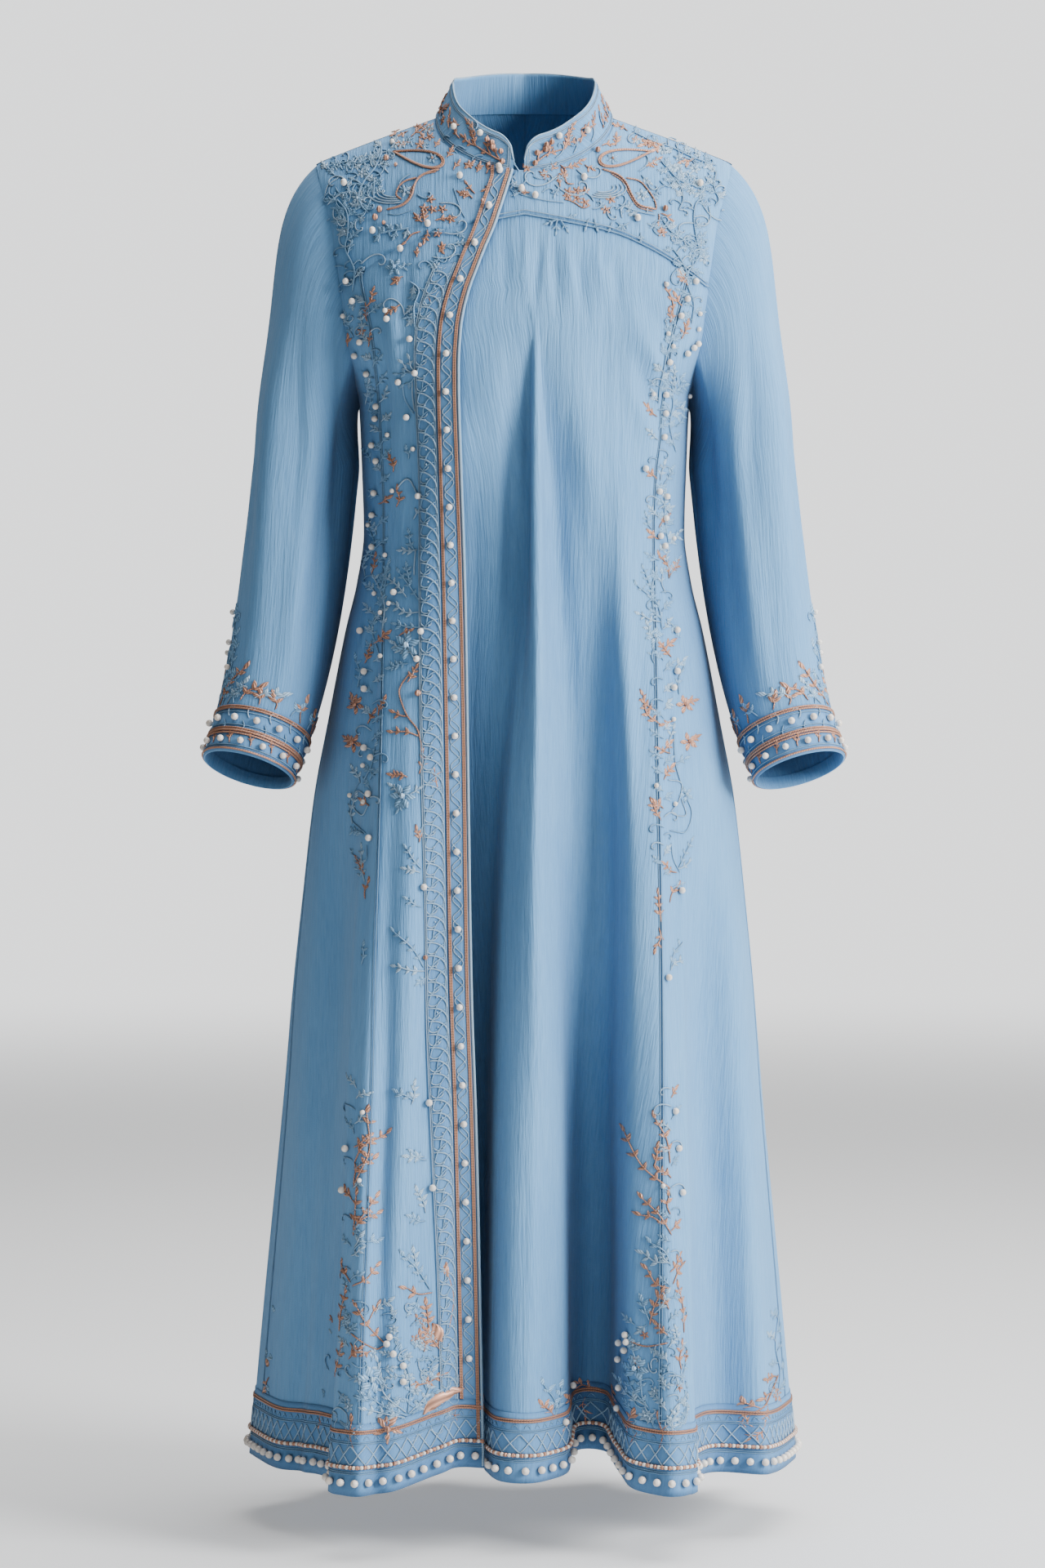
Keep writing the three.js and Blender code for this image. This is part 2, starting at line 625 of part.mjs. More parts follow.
// Armhole of the +X side as a closed loop, from the armpit up the front and down the back. Each point has
// the body's outward normal, the direction out of the armhole along the cloth, and its turn by length.
function armholeLoop() {
  const rising = [...ARMHOLE_LEVELS].reverse();
  const places = [
    ...rising.map((level) => [level, true]),
    ...ARMHOLE_LEVELS.slice(1, -1).map((level) => [level, false]),
  ];
  const loop = places.map(([level, front]) => {
    const place = front ? armholeFrontLeft(level) : armholeBackLeft(level);
    return { point: clothAt(place, level), normal: normalAt(place, level) };
  });
  let length = 0;
  loop.forEach((here, i) => {
    const before = loop[(i + loop.length - 1) % loop.length].point;
    const next = loop[(i + 1) % loop.length].point;
    if (i > 0) length += here.point.distanceTo(before);
    here.turn = length;
    const along = next.clone().sub(before).normalize();
    here.out = here.normal.clone().cross(along).normalize();
    if (here.out.dot(ARMHOLE_MIDDLE.clone().sub(here.point)) < 0) here.out.negate();
  });
  const whole = length + loop[0].point.distanceTo(loop[loop.length - 1].point);
  loop.forEach((here) => (here.turn /= whole));
  loop[0].out.set(0, 0, 1);
  return loop;
}

const loop = armholeLoop();
const sleeveSpine = new THREE.CatmullRomCurve3(
  SLEEVE_SECTIONS.map(([x, y, z]) => new THREE.Vector3(x, y, z)),
);
const sleeveWidth = curve(SLEEVE_SECTIONS.map((row, i) => [i, row[3]]), 1);
const sleeveDepth = curve(SLEEVE_SECTIONS.map((row, i) => [i, row[4]]), 1);

// Point of the lower sleeve at a turn from the armpit, by the front, and a share of its spine.
function sleeveRing(turn, share) {
  const centre = sleeveSpine.getPoint(share);
  const axis = sleeveSpine.getTangent(share);
  const width = new THREE.Vector3(1, 0, 0).addScaledVector(axis, -axis.x).normalize();
  const depth = new THREE.Vector3().crossVectors(axis, width).normalize();
  const at = share * (SLEEVE_SECTIONS.length - 1);
  const round = turn * 2 * Math.PI;
  return centre
    .addScaledVector(width, -sleeveWidth(at) * Math.cos(round))
    .addScaledVector(depth, sleeveDepth(at) * Math.sin(round));
}

function sleeveFold(turn, down) {
  let depth = 0;
  for (const [centre, slant, from, to, amount] of SLEEVE_FOLDS) {
    const along = clamp((down - from) / (to - from), 0, 1);
    const off = (turn - centre - slant * (along - 0.5)) / 0.055;
    depth += amount * Math.sin(Math.PI * along) ** 2 * Math.exp(-off * off);
  }
  return depth;
}

// The cap grows out of the armhole, and then the tube follows its sections.
function sleevePoint({ point, out, turn }, down) {
  if (down >= CAP_SHARE) return sleeveRing(turn, (down - CAP_SHARE) / (1 - CAP_SHARE));
  const s = down / CAP_SHARE;
  const start = point.clone().addScaledVector(out, SEAM_GAP);
  const end = sleeveRing(turn, 0);
  const reach = end.distanceTo(start) * CAP_FULLNESS;
  const top = (1 - Math.cos(turn * 2 * Math.PI)) / 2;
  const lead = end.clone().sub(start).normalize();
  lead.addScaledVector(new THREE.Vector3(1, 0, 0), mix(0.3, 1.15, top)).normalize();
  return start
    .multiplyScalar(1 - 3 * s * s + 2 * s ** 3)
    .addScaledVector(lead, reach * (s - 2 * s * s + s ** 3))
    .addScaledVector(end, 3 * s * s - 2 * s ** 3)
    .addScaledVector(sleeveSpine.getTangent(0), reach * (s ** 3 - s * s));
}

// Share of the sleeve's rows at a distance up from the cuff's end.
const sleeveShareAt = (distance) => 1 - (distance / sleeveSpine.getLength()) * (1 - CAP_SHARE);

function sleeveNormals(grid) {
  const columns = grid[0].length;
  const normals = grid.map((row, r) =>
    row.map((_, c) => {
      const across = row[(c + 1) % columns].clone().sub(row[(c + columns - 1) % columns]);
      const lower = grid[Math.min(r + 1, grid.length - 1)][c];
      const down = lower.clone().sub(grid[Math.max(r - 1, 0)][c]);
      return down.cross(across).normalize();
    }),
  );
  loop.forEach(({ out }, c) => {
    const into = normals[0][c].dot(out);
    if (into > 0) normals[0][c].addScaledVector(out, -into).normalize();
  });
  return normals;
}

function sleeveCloth() {
  const cuffTop = sleeveShareAt(CUFF_BAND.height);
  const rows = [
    ...CAP_ROWS.map((share) => share * CAP_SHARE),
    ...evenly(TUBE_ROWS).map((share) => mix(CAP_SHARE, cuffTop, share)),
    1,
  ];
  const points = rows.map((down) => loop.map((start) => sleevePoint(start, down)));
  const normals = sleeveNormals(points);
  const folded = points.map((row, r) =>
    row.map((p, c) => p.clone().addScaledVector(normals[r][c], sleeveFold(loop[c].turn, rows[r]))),
  );
  return { points: folded, normals: sleeveNormals(folded) };
}

const flipped = (grid) => grid.map((row) => row.map((p) => new THREE.Vector3(-p.x, p.y, p.z)).reverse());
const onSide = (side, grid) => (side > 0 ? grid : flipped(grid));
const leftSleeve = sleeveCloth();

const sleeve = (side) =>
  wallGeometry(onSide(side, leftSleeve.points), onSide(side, movedOut(leftSleeve, -CLOTH_WALL)), true);

const wasm = await Module();
wasm.setup();

function solid(geometry) {
  const bare = geometry.clone();
  for (const name of ["normal", "uv"]) if (bare.getAttribute(name)) bare.deleteAttribute(name);
  const merged = mergeVertices(bare, 1e-4);
  const triVerts = new Uint32Array(merged.index.array);
  const vertProperties = new Float32Array(merged.getAttribute("position").array);
  return new wasm.Manifold(new wasm.Mesh({ numProp: 3, vertProperties, triVerts }));
}

function joined(geometries) {
  let whole = solid(geometries[0]);
  for (const geometry of geometries.slice(1)) whole = whole.add(solid(geometry));
  const mesh = whole.getMesh();
  const geometry = new THREE.BufferGeometry();
  geometry.setAttribute("position", new THREE.Float32BufferAttribute(mesh.vertProperties, 3));
  geometry.setIndex([...mesh.triVerts]);
  return geometry;
}

// A bead has eight faces and lies on one of them, a little sunk in its band.
const BEAD_FACE = new THREE.Vector3(1, 1, 1).normalize();
const BEAD_SINK = 0.4;

// A band with beads along it. beadLine and beadNormals run along the band's outer face.
function beadedBand(over, under, closed, beadLine, beadNormals, { beadPitch, beadRadius }) {
  const line = closed ? [...beadLine, beadLine[0]] : beadLine;
  const normals = closed ? [...beadNormals, beadNormals[0]] : beadNormals;
  const parts = [wallGeometry(over, under, closed)];
  let travelled = beadPitch / 2;
  for (let i = 1; i < line.length; i++) {
    const length = line[i].distanceTo(line[i - 1]);
    const normal = normals[i].clone().add(normals[i - 1]).normalize();
    while (travelled < length) {
      const at = line[i - 1].clone().lerp(line[i], travelled / length);
      at.addScaledVector(normal, beadRadius / Math.sqrt(3) - BEAD_SINK);
      const bead = new THREE.OctahedronGeometry(beadRadius, 0);
      bead.applyQuaternion(new THREE.Quaternion().setFromUnitVectors(BEAD_FACE, normal));
      parts.push(bead.translate(at.x, at.y, at.z));
      travelled += beadPitch;
    }
    travelled -= length;
  }
  return joined(parts);
}

// A strip on the cloth, made from the points of the panels under it.
function strip(grid) {
  const cloth = onCloth(grid);
  const over = movedOut(cloth, SEAM_GAP + BAND_WALL);
  return { over, under: movedOut(cloth, SEAM_GAP), normals: cloth.normals };
}

const acrossRows = ({ over }, share) => over[0].map((p, c) => p.clone().lerp(over[over.length - 1][c], share));

function hemBand() {
  const across = [
    ...underAcross,
    ...sideLeftAcross.slice(1),
    ...backLeftGrid.at(-1).slice(1).map(([place]) => always(place)),
    ...backRightGrid.at(-1).slice(1).map(([place]) => always(place)),
    ...sideRightAcross.slice(1),
    ...overlapAcross.slice(1),
  ];
  const band = strip([HEM_BAND_TOP, HEM_LEVEL].map((level) => across.map((line) => [line(level), level])));
  const line = acrossRows(band, HEM_BEADS.beadShare);
  return beadedBand(band.over, band.under, false, line, band.normals[1], HEM_BEADS);
}

// The placket runs over the right yoke and the wrapped-over front, down to the hem band.
function trimGrid(farLine, nearLine, withYoke) {
  const far = overlapAcross.indexOf(farLine);
  const near = overlapAcross.indexOf(nearLine);
  const yokeColumn = (line) => rightYokeGrid[0].length - 1 - rightYokeSeams.indexOf(line);
  const above = withYoke
    ? rightYokeGrid.slice(0, -1).map((row) => [row[yokeColumn(farLine)], row[yokeColumn(nearLine)]])
    : [];
  return [...above, ...overlapGrid.slice(0, -1).map((row) => [row[far], row[near]])];
}

const clearOfHemBand = ({ over, under, normals }) => {
  const lift = (grid) => {
    const end = grid.length - 1;
    return grid.map((row, r) => (r < end ? row : row.map((p, c) => p.clone().lerp(grid[end - 1][c], 0.01))));
  };
  return { over: lift(over), under: lift(under), normals };
};

function placketBand() {
  const band = clearOfHemBand(strip(trimGrid(placketFar, placketNear, true)));
  const line = band.over.map(([far, near]) => far.clone().lerp(near, PLACKET.beadShare));
  const outward = band.normals.map(([normal]) => normal);
  return beadedBand(band.over, band.under, false, line, outward, PLACKET);
}

function trellisBorder() {
  const band = clearOfHemBand(strip(trimGrid(trellisFar, trellisNear, false)));
  return wallGeometry(band.over, band.under, false);
}

function cuffBand(side) {
  const cloth = {
    points: onSide(side, leftSleeve.points.slice(-2)),
    normals: onSide(side, leftSleeve.normals.slice(-2)),
  };
  const over = movedOut(cloth, SEAM_GAP + BAND_WALL);
  const line = acrossRows({ over }, CUFF_BAND.beadShare);
  return beadedBand(over, movedOut(cloth, SEAM_GAP), true, line, cloth.normals[0], CUFF_BAND);
}

// The stand collar is made from the points of the neckline, from the left front tip by the nape to the
// right front tip. Its top front corners are rounded.
function collar() {
  const edge = (grid) => grid[0].map(([place, level]) => clothAt(place, level));
  const onNeck = (points) => points.filter((p) => Math.abs(p.x) < NECK_HALF + 1);
  const leftFront = onNeck(edge(leftYokeGrid)).filter((p) => p.x > 0);
  const rightFront = onNeck(edge(rightYokeGrid));
  const ring = [
    ...leftFront,
    ...onNeck(edge(backLeftGrid)).slice(1),
    ...onNeck(edge(backRightGrid)).slice(1),
    ...rightFront.slice(1),
  ];
  const along = [0];
  ring.slice(1).forEach((p, i) => along.push(along[i] + p.distanceTo(ring[i])));
  const outer = COLLAR_ROWS.map(() => []);
  const inner = COLLAR_ROWS.map(() => []);
  ring.forEach((base, i) => {
    const away = new THREE.Vector3(base.x, base.y, 0).normalize();
    const fromTip = Math.min(along[i], along.at(-1) - along[i]);
    const cut = Math.max(0, 1 - fromTip / COLLAR_CORNER);
    const height = COLLAR_HEIGHT - COLLAR_CORNER * (1 - Math.sqrt(1 - cut * cut));
    const lean = mix(COLLAR_LEAN.centre, COLLAR_LEAN.side, Math.abs(away.x));
    COLLAR_ROWS.forEach((up, r) => {
      const share = (up * height) / COLLAR_HEIGHT;
      const point = base.clone().addScaledVector(away, -lean * share);
      point.z += SEAM_GAP + 0.2 + share * Math.sqrt(COLLAR_HEIGHT ** 2 - lean ** 2);
      outer[r].push(point);
      inner[r].push(point.clone().addScaledVector(away, -COLLAR_WALL));
    });
  });
  return wallGeometry(outer.reverse(), inner.reverse(), false);
}

const dress = new THREE.Group();
function add(name, geometry, material) {
  const mesh = new THREE.Mesh(geometry, material);
  mesh.name = name;
  dress.add(mesh);
}

add("front_overlap", clothWall(overlapGrid, { first: true, top: true }), MATERIALS.crepe);
add("front_under", frontPanel(underAcross, false), MATERIALS.crepe);
add("side_front_right", frontPanel(sideRightAcross, true), MATERIALS.crepe);
add("side_front_left", frontPanel(sideLeftAcross, true), MATERIALS.crepe);
add("yoke_right", clothWall(rightYokeGrid, { top: true, bottom: true }), MATERIALS.crepe);
add("yoke_left", clothWall(leftYokeGrid, { top: true, bottom: true }), MATERIALS.crepe);
add("back_right", clothWall(backRightGrid, { first: true, last: true, top: true }), MATERIALS.crepe);
add("back_left", clothWall(backLeftGrid, { first: true, last: true, top: true }), MATERIALS.crepe);
add("sleeve_right", sleeve(-1), MATERIALS.crepe);
add("sleeve_left", sleeve(1), MATERIALS.crepe);
add("collar", collar(), MATERIALS.crepe);
add("placket_band", placketBand(), MATERIALS.band);
add("trellis_border", trellisBorder(), MATERIALS.band);
add("hem_band", hemBand(), MATERIALS.band);
add("cuff_band_right", cuffBand(-1), MATERIALS.band);
add("cuff_band_left", cuffBand(1), MATERIALS.band);

export default dress;
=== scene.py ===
"""Looks of the light blue crepe dress: cloth with its creases, bands, cords, leaves and pearls.

Lengths are in millimetres until a mesh is made. The forms follow the same sections and guide lines as the
solids: a place is a number along the guide lines round the body, a level is the height above the bust line.
"""

import math

import bpy
import numpy as np
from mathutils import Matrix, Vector


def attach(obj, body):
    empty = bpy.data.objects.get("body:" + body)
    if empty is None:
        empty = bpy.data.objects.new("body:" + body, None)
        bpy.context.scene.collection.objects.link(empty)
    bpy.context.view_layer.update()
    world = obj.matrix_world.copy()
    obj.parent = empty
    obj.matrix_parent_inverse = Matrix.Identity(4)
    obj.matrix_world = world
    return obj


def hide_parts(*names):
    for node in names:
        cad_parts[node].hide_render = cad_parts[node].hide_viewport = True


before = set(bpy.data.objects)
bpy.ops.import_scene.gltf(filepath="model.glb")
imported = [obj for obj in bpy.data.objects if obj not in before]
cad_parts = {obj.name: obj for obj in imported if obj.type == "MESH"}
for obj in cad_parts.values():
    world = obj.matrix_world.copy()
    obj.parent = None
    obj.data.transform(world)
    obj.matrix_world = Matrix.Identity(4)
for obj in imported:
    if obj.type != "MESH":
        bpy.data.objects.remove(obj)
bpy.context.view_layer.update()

CLOTH_THICK = 1.2
TURNED_IN = 14.0
OVERLAP_STANDOFF = 3.4
BUST_Z = -215.0
RISE = 245.0
HEM_LEVEL = -1026.0
ARMPIT_LEVEL = -37.0
NECK_HALF = 84.0
NECK_FRONT_DROP = -57.0
NECK_BACK_RISE = 16.0
SHOULDER_SLOPE = 0.36
BACK_NECK_LIFT = 70.0
ROUNDNESS = 2.3
ARMHOLE_SHARE = 0.976
YOKE_TOP_LEVEL = 74.0

SECTIONS = [
    # level, half, front, front_shelf, back, back_shelf
    (245, 201, 0, -7, 0, 7),
    (237, 200, 9, -1, 25, 9),
    (220, 197, 26, 9, 51, 14),
    (196, 193, 48, 17, 71, 20),
    (171, 188, 63, 22, 81, 25),
    (147, 184, 76, 25, 87, 28),
    (122, 181, 88, 27, 91, 31),
    (73, 175, 103, 28, 97, 33),
    (24, 170, 110, 25, 99, 29),
    (0, 166, 112, 20, 99, 23),
    (-12, 162, 113, 13, 98, 15),
    (-25, 158, 114, 6, 97, 7),
    (-37, 155, 115, 0, 96, 0),
    (-95, 152, 118, 0, 92, 0),
    (-161, 150, 114, 0, 88, 0),
    (-207, 156, 118, 0, 92, 0),
    (-253, 167, 126, 0, 99, 0),
    (-346, 185, 141, 0, 115, 0),
    (-407, 196, 149, 0, 124, 0),
    (-499, 206, 158, 0, 134, 0),
    (-591, 215, 166, 0, 143, 0),
    (-685, 222, 173, 0, 151, 0),
    (-868, 238, 185, 0, 164, 0),
    (-1026, 251, 195, 0, 175, 0),
]
FRONT_EDGE = [
    # z, x
    (-57, -10),
    (-85, -20),
    (-103, -27),
    (-120, -35),
    (-138, -42),
    (-155, -48),
    (-175, -53),
    (-195, -56),
    (-236, -58),
    (-328, -56),
    (-400, -54),
    (-491, -52),
    (-638, -49),
    (-813, -46),
    (-933, -42),
    (-1067, -39),
    (-1227, -36),
]
YOKE_SEAM = [
    # distance from the centre, z
    (0, -95),
    (57, -104),
    (86, -110),
    (115, -121),
    (137, -132),
    (168, -151),
]
LINE_HEIGHTS = (-130, -215, -376, -806, -1241)
UNDER_LINES = [
    # x at the five heights, hem_x, hem_y, lift, start
    (-62, -100, -108, -116, -120, -116, 8, -300),
    (-45, -62, -66, -84, -90, -108, 8, -300),
    (-28, -30, -36, -58, -64, -100, 10, -260),
    (-8, 4, -7, -34, -40, -103, 12, -200),
    (-2, 7.5, 3, -20, -31, -146, 9, -190),
    (6, 11, 12, 7, 2, -186, 7, -190),
    (14, 14.5, 21, 28, 34, -152, 9, -190),
    (22, 18, 32, 47, 46, -122, 22, -200),
    (42, 44, 60, 72, 68, -116, 22, -320),
    (68, 72, 78, 85, 83, -150, 12, -320),
    (96, 92, 94, 99, 100, -190, 3, -330),
    (150, 134, 119, 123, 121, -206, 0, -450),
]
LEFT_SIDE_LINES = [
    # share, hem_x, hem_y, lift, start
    (0.1, 147, -207, 0, -700),
    (0.2, 161, -189, 0, -700),
    (0.32, 158, -152, 3, -700),
    (0.48, 182, -122, 3, -600),
    (0.75, 228, -86, -2, -500),
    (1, 249, -24, -4, -400),
]
BACK_LINES = [
    (0.1, 253, 38, -4, -500),
    (0.2, 214, 82, 2, -480),
    (0.3, 208, 136, 0, -560),
    (0.39, 138, 134, 6, -450),
    (0.45, 88, 182, 2, -560),
    (0.5, 0, 156, 5, -480),
    (0.55, -80, 185, 2, -480),
    (0.61, -132, 140, 6, -600),
    (0.69, -192, 148, 2, -460),
    (0.79, -216, 92, 4, -560),
    (0.89, -255, 44, -2, -460),
    (1, -252, -24, 0, -400),
]
RIGHT_SIDE_LINES = [
    (0.28, -232, -84, 0, -500),
    (0.55, -197, -120, 3, -560),
    (0.72, -169, -152, 3, -560),
    (0.84, -175, -187, 0, -560),
    (0.92, -161, -205, 0, -560),
]
OVERLAP_LINES = [
    (-150, -137, -128, -134, -146, -207, 0, -450),
    (-122, -112, -108, -112, -119, -201, 2, -450),
    (-98, -92, -88, -90, -92, -180, 8, -450),
    (-66, -75, -70, -68, -64, -158, 16, -450),
]
FRONT_EDGE_HEM = (-36, -152, 15, -450)
UNDER_EDGE = 0
PRINCESS_LEFT = 11
SIDE_LEFT = 17
CENTRE_BACK = 23
SIDE_RIGHT = 29
PRINCESS_RIGHT = 35
EDGE = 39
LINE_COUNT = 40
FOLD_GROWTH = 0.85

NECK_TURNS = {
    "left": (-33, -22, -12, -4, 4, 14, 25, 36, 48, 60, 75, 90),
    "right": (-6.8, -8.6, -21.7, -28, -36, -45, -55, -66, -78, -90),
    "back": (0, 6, 12, 18, 24, 30, 36, 43, 50, 57, 64, 71, 78, 84, 90),
}
SHOULDER_SHARES = (0.25, 0.5, 0.75, 1)
SLEEVE_SECTIONS = [
    # x, y, z, half_width, half_depth
    (205, -3, -318, 50, 57),
    (212, -7, -385, 50, 54),
    (222, -15, -460, 49, 50),
    (236, -32, -535, 46, 45),
    (255, -58, -599, 43, 38),
]
CAP_SHARE = 0.4
CAP_FULLNESS = 0.92
TUCK = 3.0
TUCK_DEPTH = 1.6
SLEEVE_FOLDS = [
    # turn, slant, from, to, depth, width
    (0.09, 0.0, -0.05, 0.85, -15, 0.075),
    (0.27, -0.1, 0.02, 0.72, -6.5, 0.045),
    (0.36, -0.12, 0.04, 0.95, 5.0, 0.05),
    (0.17, -0.08, 0.05, 0.9, -6.0, 0.045),
    (0.43, -0.06, 0.1, 0.8, -3.0, 0.035),
    (0.22, -0.05, 0.35, 0.97, 3.5, 0.035),
    (0.7, 0.1, 0.05, 0.7, -5, 0.05),
    (0.8, 0.08, 0.1, 0.85, 4, 0.055),
    (0.6, 0.05, 0.2, 0.95, -3, 0.04),
]
COLLAR_HEIGHT = 37.0
COLLAR_LEAN_SIDE = 16.0
COLLAR_LEAN_CENTRE = 5.0
COLLAR_CORNER = 19.0
COLLAR_WALL = 2.4
COLLAR_TIP_LOSS = 8.0
COLLAR_TIP_REACH = 70.0
# The shoulders sit a little higher than on the solids, and the sleeve heads a little closer in
LIFT = 15.0
LIFT_FROM = -150.0
LIFT_FULL = -15.0
SQUEEZE = 8.0
SQUEEZE_X = (190.0, 240.0)
SQUEEZE_Z = -165.0
SQUEEZE_REACH = 120.0
SLEEVE_HEAD = (220.0, 0.0, -130.0)
# Fineness of the meshes and of the searches
COLUMN_STEP = 4.0
ROW_STEP = 7.0
YOKE_ROWS = 30
BACK_COLUMNS = 110
SLEEVE_COLUMNS = 132
SLEEVE_ROWS = 108
COLLAR_COLUMNS = 190
RIBBON_ROWS = 319
NORMAL_STEP = 0.02
HALVINGS = 34
# How far the edges of a piece lie under the pieces that it meets
SEAM_SINK = 0.8
EDGE_SINK = 1.4


def smooth(share):
    """The share, held between 0 and 1, with a level start and end."""
    share = np.clip(share, 0, 1)
    return share * share * (3 - 2 * share)


def unit(vectors):
    """The vectors, each with a length of 1."""
    return vectors / np.maximum(np.linalg.norm(vectors, axis=-1, keepdims=True), 1e-9)


def lengths(points, axis=0):
    """Length along each line of points, from its start to each point."""
    return np.linalg.norm(np.diff(points, axis=axis, prepend=points.take([0], axis)), axis=-1).cumsum(axis)


def sample(at, along, table):
    """Rows of a table at the wanted lengths, given the length at each of its rows."""
    return np.stack([np.interp(at, along, column) for column in table.T], -1)


def curve(rows, column=1):
    """A smooth curve that never overshoots its points: the column as a function of the first one."""
    xs, ys = np.array(sorted((row[0], row[column]) for row in rows), float).T
    widths = np.diff(xs)
    slopes = np.diff(ys) / widths
    tangents = np.concatenate([slopes[:1], slopes])
    before, after = slopes[:-1], slopes[1:]
    same_way = before * after > 0
    tangents[1:-1] = np.where(same_way, 2 * before * after / np.where(same_way, before + after, 1), 0)

    def at(x):
        x = np.clip(x, xs[0], xs[-1])
        i = np.clip(np.searchsorted(xs, x) - 1, 0, len(widths) - 1)
        s = (x - xs[i]) / widths[i]
        rising = (s - 1) ** 2 * ((1 + 2 * s) * ys[i] + s * widths[i] * tangents[i])
        return rising + s * s * ((3 - 2 * s) * ys[i + 1] + (s - 1) * widths[i] * tangents[i + 1])

    return at


half_at, front_at, front_shelf_at, back_at, back_shelf_at = (curve(SECTIONS, c) for c in range(1, 6))
front_edge_x = curve(FRONT_EDGE)
yoke_seam_z = curve(YOKE_SEAM)


def lift_at(z):
    """How much higher the cloth is worn at a height than the solids have it."""
    return LIFT * smooth((z - LIFT_FROM) / (LIFT_FULL - LIFT_FROM))


def fitted(points):
    """Points of the cloth and what is sewn on it, with higher shoulders and closer sleeve heads."""
    x, y, z = np.moveaxis(np.asarray(points, float), -1, 0)
    reach = smooth((np.abs(x) - SQUEEZE_X[0]) / (SQUEEZE_X[1] - SQUEEZE_X[0]))
    bell = np.cos(np.pi / 2 * np.clip((z - SQUEEZE_Z) / SQUEEZE_REACH, -1, 1)) ** 2
    return np.stack([x - np.sign(x) * SQUEEZE * reach * bell, y, z + lift_at(z)], -1)


def height_at(x, level, front):
    """Height of a level: even up to the bust line, then bent towards the shoulders and the nape."""
    up = np.clip(level, 0, None) / RISE
    nape = np.where(front, 0, np.clip(1 - (x / NECK_HALF) ** 2, 0, None))
    shoulder = SHOULDER_SLOPE * (NECK_HALF - np.abs(x))
    above = BUST_Z + (shoulder - BUST_Z) * up + BACK_NECK_LIFT * nape * up**4
    return np.where(level <= 0, BUST_Z + level, above)


def bisect(below, low, high):
    """The value between low and high where below(value) turns false."""
    low, high = np.array(low, float), np.array(high, float)
    for _ in range(HALVINGS):
        middle = (low + high) / 2
        under = below(middle)
        low, high = np.where(under, middle, low), np.where(under, high, middle)
    return (low + high) / 2


def level_of_z(x, z, front):
    """Level that has a height at an x."""
    shape = np.broadcast(x, z)
    return bisect(lambda m: height_at(x, m, front) < z, np.full(shape.shape, HEM_LEVEL), np.full(shape.shape, RISE))


def body_at(angle, level):
    """Point of the unfolded body at an angle from the front centre, towards +X, and a level."""
    sine, cosine = np.sin(np.radians(angle)), np.cos(np.radians(angle))
    front = cosine >= 0
    power = 2 / ROUNDNESS
    x = half_at(level) * np.sign(sine) * np.abs(sine) ** power
    shelf = np.where(front, front_shelf_at(level), back_shelf_at(level))
    centre = np.where(front, front_at(level), back_at(level))
    depth = shelf + (centre - shelf) * np.abs(cosine) ** power
    return np.stack([x, np.where(front, -depth, depth), height_at(x, level, front)], -1)


def angle_of_x(x, level):
    """Angle at which the body has an x."""
    share = np.clip(np.abs(x) / half_at(level), 0, 1)
    return np.sign(x) * np.degrees(np.arcsin(share ** (ROUNDNESS / 2)))


def line_tables():
    """Angle of each guide line, and how far its fold moves it, on a table with a row for each millimetre."""
    levels = np.arange(HEM_LEVEL, RISE + 1)
    angles, hems = [], []

    def add_front(rows, turn):
        for row in rows:
            angles.append(turn + angle_of_x(curve(list(zip(LINE_HEIGHTS, row[:5])))(BUST_Z + levels), levels))
            hems.append(row[4:])

    def add_between(rows, first, last):
        for share, *hem in rows:
            angles.append(first + (last - first) * share)
            hems.append(hem)

    side = 90 - 10 * smooth(levels / HEM_LEVEL)
    add_front(UNDER_LINES, 0)
    add_between(LEFT_SIDE_LINES, angles[-1], side)
    add_between(BACK_LINES, side, 360 - side)
    right = curve(list(zip(LINE_HEIGHTS, OVERLAP_LINES[0][:5])))(BUST_Z + levels)
    add_between(RIGHT_SIDE_LINES, 360 - side, 360 + angle_of_x(right, levels))
    add_front(OVERLAP_LINES, 360)
    angles.append(360 + angle_of_x(front_edge_x(BUST_Z + levels), levels))
    hems.append(FRONT_EDGE_HEM)
    angles = np.array(angles)
    hem_x, hem_y, lift, start = np.array(hems, float).T
    flat = body_at(angles[:, 0], np.full(LINE_COUNT, HEM_LEVEL))
    moved = np.stack([hem_x - flat[:, 0], hem_y - flat[:, 1], lift], -1)
    start = (start - BUST_Z)[:, None]
    share = np.clip((start - levels) / (start - HEM_LEVEL), 0, 1) ** FOLD_GROWTH
    return angles, moved[:, None, :] * share[..., None]


ANGLES, OFFSETS = line_tables()


def look_up(table, place, level):
    """Value of a table at a place and a level, smooth between the lines."""
    place, level = np.broadcast_arrays(np.asarray(place, float), np.asarray(level, float))
    first = np.clip(np.floor(place), 0, LINE_COUNT - 2).astype(int)
    s = place - first
    row = np.clip(level - HEM_LEVEL, 0, table.shape[1] - 1.001)
    below = row.astype(int)
    part = row - below
    shares = (
        (-s + 2 * s * s - s**3) / 2,
        (2 - 5 * s * s + 3 * s**3) / 2,
        (s + 4 * s * s - 3 * s**3) / 2,
        (-s * s + s**3) / 2,
    )
    total = 0
    for step, share in enumerate(shares):
        number = np.clip(first + step - 1, 0, LINE_COUNT - 1)
        low, high = table[number, below], table[number, below + 1]
        if table.ndim == 3:
            share, mix = share[..., None], part[..., None]
        else:
            mix = part
        total = total + share * (low + (high - low) * mix)
    return total


def layer_share(place, level):
    """Share of OVERLAP_STANDOFF that the cloth stands out here."""
    up = smooth(level / 150)
    fade_end = PRINCESS_RIGHT - 1 + up
    fade_start = PRINCESS_RIGHT + 1 + 2.2 * up
    across = smooth((place - fade_end) / (fade_start - fade_end))
    return across * (1 - smooth((level - 190) / 50))


